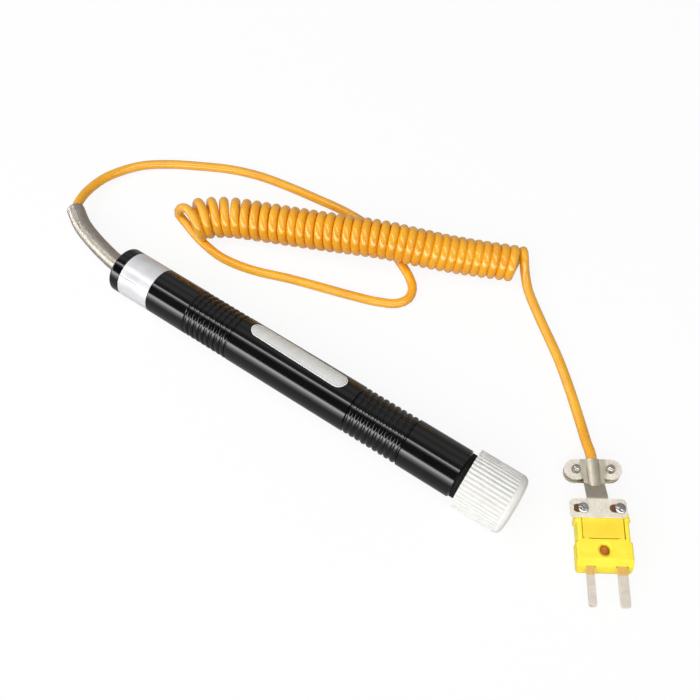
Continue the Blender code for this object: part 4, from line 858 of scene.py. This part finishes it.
for piece, middle_x, middle_y, thinner, shorter in (
    (plug_pieces[2], 0.12, 6.35, 0.985, 0.975),
    (plug_pieces[3], None, 0.0, 0.93, 1.0),
    (plug_pieces[4], None, 0.0, 0.87, 1.0),
):
    places = [to_plug @ vertex.co for vertex in piece.data.vertices]
    if middle_x is None:
        middle_x = (min(p.x for p in places) + max(p.x for p in places)) / 2 / MM
    for vertex, place in zip(piece.data.vertices, places):
        place.x = middle_x * MM + (place.x - middle_x * MM) * thinner
        place.y = middle_y * MM + (place.y - middle_y * MM) * shorter
        vertex.co = PLUG @ place
# Painted shade: the clamp's raised strip and tongue are parted off and take the darker bracket finish, where the band
# mirrors dark surroundings.
edit = bmesh.new()
edit.from_mesh(plug_pieces[5].data)
for side in (-1, 1):
    cut_at = PLUG @ Vector(((-0.9 + side * 3.7) * MM, 0, 0))
    everything = edit.verts[:] + edit.edges[:] + edit.faces[:]
    bmesh.ops.bisect_plane(edit, geom=everything, plane_co=cut_at, plane_no=PLUG.col[0].xyz)
for face in edit.faces:
    place = to_plug @ face.calc_center_median()
    if place.y > 14.2 * MM and abs(place.x + 0.9 * MM) < 3.7 * MM:
        face.material_index = 1
edit.to_mesh(plug_pieces[5].data)
edit.free()
for piece in plug_pieces[5:]:
    piece.data.materials.append(finishes["bracket_painted_shade"])
plug_pieces[6].data.materials.append(finishes["deep_painted_shade"])
# Painted shade between the clamp's plates: the back plate's upward faces take the darker bracket finish, its edges
# and underside the near-black one.
for face in plug_pieces[6].data.polygons:
    face.material_index = 1 if face.normal.z > 0.7 else 2
print("plug pieces:", len(plug_pieces))

# %% Brown rings of painted shade under the bracket's slots, and the round marks near the nose
for word, sign in (("left", -1), ("right", 1)):
    ring = [(1.06 * MM, 8.03 * MM), (2.9 * MM, 8.03 * MM), (2.9 * MM, 8.1 * MM), (1.06 * MM, 8.1 * MM)]
    mesh = lathe("slot_shade_ring_" + word, ring, 48, Matrix.Translation((sign * 5.1 * MM, 11.45 * MM, 0)))
    for vertex in mesh.vertices:
        vertex.co.x = max(min(vertex.co.x, (sign * 5.1 + 1.2) * MM), -7.6 * MM)
        vertex.co.y = max(9.6 * MM, min(13.3 * MM, vertex.co.y))
    mesh.transform(PLUG)
    plug_pieces.append(add_piece("slot_shade_ring_" + word, mesh, "probe", "plug_yellow", finish="slot_painted_shade"))
    mark = [(0.0, 7.95 * MM), (2.05 * MM, 7.95 * MM), (2.1 * MM, 8.02 * MM), (1.95 * MM, 8.05 * MM), (0.0, 8.05 * MM)]
    place = PLUG @ Matrix.Translation(((sign * 4.75 + 0.1) * MM, 1.1 * MM, 0))
    mesh = lathe("ejector_mark_" + word, mark, 40, place)
    plug_pieces.append(add_piece("ejector_mark_" + word, mesh, "probe", "plug_yellow"))

# %% [markdown]
# The bracket is held by two chrome screws with cross recesses. One head is a flattened ball with two
# crossed slots cut from it, and the tree is run once for each place.

# %% The bracket's cross-head screws
SCREW_SIZES = {"Head Radius": 1.55 * MM, "Crown": 0.95 * MM, "Slot Width": 0.5 * MM, "Slot Length": 2.2 * MM,
               "Seat": 9.1 * MM, "Shank Radius": 1.0 * MM, "Shank Length": 7.3 * MM}
screw_tree, given = geometry_tree("cross_head_screw", SCREW_SIZES)
ball = add_node(screw_tree, "GeometryNodeMeshUVSphere", None, {"Segments": 40, "Rings": 24, "Radius": 1.0})
size = add_node(screw_tree, "ShaderNodeCombineXYZ",
                {"X": given["Head Radius"], "Y": given["Head Radius"], "Z": given["Crown"]})
head = add_node(screw_tree, "GeometryNodeTransform", {"Geometry": ball.outputs["Mesh"],
                                                      "Scale": size.outputs[0]})
cuts = []
for long_way in ("X", "Y"):
    other = "Y" if long_way == "X" else "X"
    slot_size = add_node(screw_tree, "ShaderNodeCombineXYZ",
                         {long_way: given["Slot Length"], other: given["Slot Width"], "Z": given["Crown"]})
    up = add_node(screw_tree, "ShaderNodeCombineXYZ", {"Z": given["Crown"]})
    cuts.append(add_node(screw_tree, "GeometryNodeMeshCube", {"Size": slot_size.outputs[0]}))
    cuts[-1] = add_node(screw_tree, "GeometryNodeTransform",
                        {"Geometry": cuts[-1].outputs["Mesh"], "Translation": up.outputs[0]})
below = add_node(screw_tree, "GeometryNodeMeshCube", None, {"Size": (0.01, 0.01, 0.01)})
low = add_node(screw_tree, "GeometryNodeTransform", {"Geometry": below.outputs["Mesh"]},
               {"Translation": (0.0, 0.0, -0.005)})
cut = add_node(screw_tree, "GeometryNodeMeshBoolean", {"Mesh 1": head.outputs["Geometry"]},
               operation="DIFFERENCE", solver="EXACT")
for cutter in cuts + [low]:
    screw_tree.links.new(cutter.outputs["Geometry"], cut.inputs["Mesh 2"])
shank = add_node(screw_tree, "GeometryNodeMeshCylinder",
                 {"Radius": given["Shank Radius"], "Depth": given["Shank Length"]}, {"Vertices": 24})
half = math_node(screw_tree, "MULTIPLY", given["Shank Length"], -0.5)
down = add_node(screw_tree, "ShaderNodeCombineXYZ", {"Z": half})
shank = add_node(screw_tree, "GeometryNodeTransform",
                 {"Geometry": shank.outputs["Mesh"], "Translation": down.outputs[0]})
whole = add_node(screw_tree, "GeometryNodeJoinGeometry")
for part in (shank.outputs["Geometry"], cut.outputs["Mesh"]):
    screw_tree.links.new(part, whole.inputs["Geometry"])
lift = add_node(screw_tree, "ShaderNodeCombineXYZ", {"Z": given["Seat"]})
raised = add_node(screw_tree, "GeometryNodeTransform",
                  {"Geometry": whole.outputs["Geometry"], "Translation": lift.outputs[0]})
finish_tree(screw_tree, raised.outputs["Geometry"], finishes["screw_chrome"])
bracket_screws = []
for word, sign, turned in (("left", -1, 15.0), ("right", 1, 55.0)):
    place = PLUG @ Matrix.Translation((sign * 5.1 * MM, 11.45 * MM, 0)) @ Matrix.Rotation(
        math.radians(turned), 4, "Z")
    mesh = grow("cross_head_screw_" + word, screw_tree, SCREW_SIZES, place=place)
    mesh.materials.append(finishes["deep_painted_shade"])
    to_screw = place.inverted()
    # Faces inside each cross recess take the near-black finish, painted shade in the recess.
    for face in mesh.polygons:
        spot = to_screw @ face.center
        in_cross = min(abs(spot.x), abs(spot.y)) < 0.26 * MM and spot.xy.length < 1.12 * MM
        if in_cross and 9.1 * MM < spot.z < 9.95 * MM and face.area < 1e-6:
            face.material_index = int(face.normal.z < 0.99 or spot.z < 9.7 * MM)
    bracket_screws.append(add_piece("cross_head_screw_" + word, mesh, "probe", "screw_chrome",
                                    "bracket_screw_" + word))

# %% [markdown]
# The clamp's own screws come up from below, so their threaded tips stand out of the ears. A thread seen
# this small is a stack of rounded rings.

# %% The clamp's threaded screws
THREAD_SIZES = {"Threads": 15, "Pitch": 0.4 * MM, "Core Radius": 1.02 * MM, "Thread Depth": 0.17 * MM,
                "Start": 1.35 * MM, "Head Radius": 2.0 * MM, "Head Height": 0.85 * MM}
thread_tree, given = geometry_tree("threaded_screw", THREAD_SIZES)
circle = add_node(thread_tree, "GeometryNodeCurvePrimitiveCircle", {"Radius": given["Core Radius"]},
                  {"Resolution": 24})
section = add_node(thread_tree, "GeometryNodeCurvePrimitiveCircle", {"Radius": given["Thread Depth"]},
                   {"Resolution": 6})
thread = add_node(thread_tree, "GeometryNodeCurveToMesh",
                  {"Curve": circle.outputs["Curve"], "Profile Curve": section.outputs["Curve"]})
start = add_node(thread_tree, "ShaderNodeCombineXYZ", {"Z": given["Start"]})
pitch = add_node(thread_tree, "ShaderNodeCombineXYZ", {"Z": given["Pitch"]})
row = add_node(thread_tree, "GeometryNodeMeshLine",
               {"Count": given["Threads"], "Start Location": start.outputs[0], "Offset": pitch.outputs[0]})
threads = add_node(thread_tree, "GeometryNodeInstanceOnPoints",
                   {"Points": row.outputs["Mesh"], "Instance": thread.outputs["Mesh"]})
length = math_node(thread_tree, "MULTIPLY", given["Threads"], given["Pitch"])
core = add_node(thread_tree, "GeometryNodeMeshCylinder", {"Radius": given["Core Radius"], "Depth": length},
                {"Vertices": 24})
middle = math_node(thread_tree, "ADD", given["Start"], math_node(thread_tree, "MULTIPLY", length, 0.48))
up = add_node(thread_tree, "ShaderNodeCombineXYZ", {"Z": middle})
core = add_node(thread_tree, "GeometryNodeTransform",
                {"Geometry": core.outputs["Mesh"], "Translation": up.outputs[0]})
head = add_node(thread_tree, "GeometryNodeMeshCylinder",
                {"Radius": given["Head Radius"], "Depth": given["Head Height"]}, {"Vertices": 32})
sunk = math_node(thread_tree, "SUBTRACT", given["Start"], math_node(thread_tree, "MULTIPLY",
                                                                    given["Head Height"], 0.75))
low = add_node(thread_tree, "ShaderNodeCombineXYZ", {"Z": sunk})
head = add_node(thread_tree, "GeometryNodeTransform",
                {"Geometry": head.outputs["Mesh"], "Translation": low.outputs[0]})
ball = add_node(thread_tree, "GeometryNodeMeshUVSphere", {"Radius": given["Core Radius"]},
                {"Segments": 24, "Rings": 12})
top = add_node(thread_tree, "ShaderNodeCombineXYZ", {"Z": math_node(thread_tree, "ADD", given["Start"], length)})
tip = add_node(thread_tree, "GeometryNodeTransform",
               {"Geometry": ball.outputs["Mesh"], "Translation": top.outputs[0]}, {"Scale": (1.0, 1.0, 0.5)})
whole = add_node(thread_tree, "GeometryNodeJoinGeometry")
for part in (head.outputs["Geometry"], core.outputs["Geometry"], tip.outputs["Geometry"],
             threads.outputs["Instances"]):
    thread_tree.links.new(part, whole.inputs["Geometry"])
finish_tree(thread_tree, whole.outputs["Geometry"], finishes["clamp_screw_steel"])
clamp_screws = []
for word, sign in (("left", -1), ("right", 1)):
    place = PLUG @ Matrix.Translation(((-0.9 + sign * 4.9) * MM, 23.8 * MM, 0))
    mesh = grow("clamp_bolt_" + word, thread_tree, THREAD_SIZES, place=place)
    clamp_screws.append(add_piece("clamp_bolt_" + word, mesh, "probe", "clamp_screw_steel",
                                  "clamp_screw_" + word))

# %% [markdown]
# ## What the cord carries
#
# The spring at the cord's start and everything on its far end, the pieces inside the plug among them,
# are gathered in one list of what the cord carries.

# %% What the cord carries
inside_plug = ["shell_screw", "terminal_screw_positive", "terminal_screw_negative", "plug_tail_positive",
               "plug_tail_negative"]
carried = [spring] + plug_pieces + bracket_screws + clamp_screws
carried += [frame["nodes"][name] for name in inside_plug]
print("carried:", len(carried))

# %% [markdown]
# ## Table, lamps and background
#
# The probe was shot on white. Camera rays see the table and the room nearly as pure white, and the table
# keeps the object's soft shadow. The soft light on the object comes from a dim room and two large lamps.
# What the gloss mirrors is a studio of its own: a narrow strip light overhead and a wide one on the near
# side, with black between them. All lie along the handle, so one radiance for each angle round it is
# enough, and the handle's bright lines in the photo give those numbers.

# %% Table
def see_white(tree, shader_out, share):
    """Mix a shader with plain white for the rays that see the background."""
    path = tree.nodes.new("ShaderNodeLightPath")
    seen = math_node(tree, "MAXIMUM", path.outputs["Is Camera Ray"], path.outputs["Is Transmission Ray"])
    amount = math_node(tree, "MULTIPLY", seen, share)
    white = tree.nodes.new("ShaderNodeEmission")
    mix = tree.nodes.new("ShaderNodeMixShader")
    tree.links.new(amount, mix.inputs["Fac"])
    tree.links.new(shader_out, mix.inputs[1])
    tree.links.new(white.outputs["Emission"], mix.inputs[2])
    return mix.outputs["Shader"]


def mirror_dim(tree, shader_out, strength):
    """Show mirror rays an even dim glow in place of a shader."""
    path = tree.nodes.new("ShaderNodeLightPath")
    glow = tree.nodes.new("ShaderNodeEmission")
    glow.inputs["Strength"].default_value = strength
    mix = tree.nodes.new("ShaderNodeMixShader")
    tree.links.new(path.outputs["Is Glossy Ray"], mix.inputs["Fac"])
    tree.links.new(shader_out, mix.inputs[1])
    tree.links.new(glow.outputs["Emission"], mix.inputs[2])
    return mix.outputs["Shader"], glow


table_finish = bpy.data.materials.new("table_white")
table_finish.use_nodes = True
tree = table_finish.node_tree
paper = tree.nodes["Principled BSDF"]
paper.inputs["Base Color"].default_value = (0.9, 0.9, 0.9, 1.0)
paper.inputs["Roughness"].default_value = 0.9
dimmed, _ = mirror_dim(tree, paper.outputs["BSDF"], 0.4)
tree.links.new(see_white(tree, dimmed, 0.88), tree.nodes["Material Output"].inputs["Surface"])
table_mesh = bpy.data.meshes.new("table")
reach = 3.0
table_mesh.from_pydata([(-reach, -reach, 0), (reach, -reach, 0), (reach, reach, 0), (-reach, reach, 0)], [],
                       [(0, 1, 2, 3)])
table_mesh.materials.append(table_finish)
table = bpy.data.objects.new("table", table_mesh)
bpy.context.scene.collection.objects.link(table)
table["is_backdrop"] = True

# %% The room, and what gloss mirrors in it
ROOM_LIGHT = 0.27
BRIGHTEST = 8.0
MIRRORED = [
    (-90, 0.3), (-72, 0.3), (-62, 0.55), (-50, 0.5), (-40, 0.32), (-30, 0.55), (-18, 0.55), (-10, 0.18),
    (0, 0.1), (5, 0.5), (7, 7.0), (10, 7.0), (13, 2.6), (17, 0.9), (22, 0.05), (50, 0.03), (57, 0.5), (60, 8.0),
    (65, 8.0), (71, 5.0), (78, 2.2), (86, 1.0), (93, 0.5),
]
world = bpy.data.worlds.new("studio")
bpy.context.scene.world = world
world.use_nodes = True
tree = world.node_tree
room = tree.nodes["Background"]
room.inputs["Color"].default_value = (1.0, 1.0, 1.0, 1.0)
room.inputs["Strength"].default_value = ROOM_LIGHT
mirrored, glow = mirror_dim(tree, room.outputs["Background"], 1.0)
way = add_node(tree, "ShaderNodeTexCoord")
parts = add_node(tree, "ShaderNodeSeparateXYZ", {0: way.outputs["Generated"]})
near_side = math_node(tree, "MULTIPLY", parts.outputs["Y"], -1.0)
angle = math_node(tree, "ARCTAN2", near_side, parts.outputs["Z"])
share = math_node(tree, "ADD", math_node(tree, "DIVIDE", angle, math.tau), 0.5)
ramp = add_node(tree, "ShaderNodeValToRGB", {"Fac": share})
stops = ramp.color_ramp.elements
stops.remove(stops[1])
for k, (degrees, radiance) in enumerate(MIRRORED):
    stop = stops[0] if k == 0 else stops.new(degrees / 360 + 0.5)
    stop.position = degrees / 360 + 0.5
    stop.color = (*[radiance / BRIGHTEST] * 3, 1.0)
tree.links.new(ramp.outputs["Color"], glow.inputs["Color"])
glow.inputs["Strength"].default_value = BRIGHTEST
tree.links.new(see_white(tree, mirrored, 1.0), tree.nodes["World Output"].inputs["Surface"])
print("mirrored stops:", len(stops))


# %% Lamps
def soft_box(name, place, aim, size, power):
    """A large rectangular lamp, long along X, that looks at a point and that gloss doesn't mirror."""
    lamp = bpy.data.lights.new(name, "AREA")
    lamp.shape = "RECTANGLE"
    lamp.size, lamp.size_y = size
    lamp.energy = power
    holder = bpy.data.objects.new(name, lamp)
    back = (Vector(place) - Vector(aim)).normalized()
    across = Vector((1, 0, 0))
    up = back.cross(across).normalized()
    turn = Matrix((across, up, across.cross(up))).transposed()
    holder.location = place
    holder.rotation_euler = turn.to_euler()
    holder.visible_glossy = False
    bpy.context.scene.collection.objects.link(holder)
    return holder


soft_box("box_over", (-0.1, -0.3, 1.1), (0, 0, 0), (1.6, 0.9), 10.5)
soft_box("box_near", (-0.3, -0.9, 0.7), (0, 0, 0), (1.6, 0.6), 7.0)
bpy.context.scene.view_settings.view_transform = "Standard"

# %% The sizes, and the end
sizes = {"cad": [list(corner) for corner in cad_box], "visual": [list(corner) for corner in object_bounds()]}
for key, box in sizes.items():
    print(key, [[round(v / MM, 2) for v in corner] for corner in box])
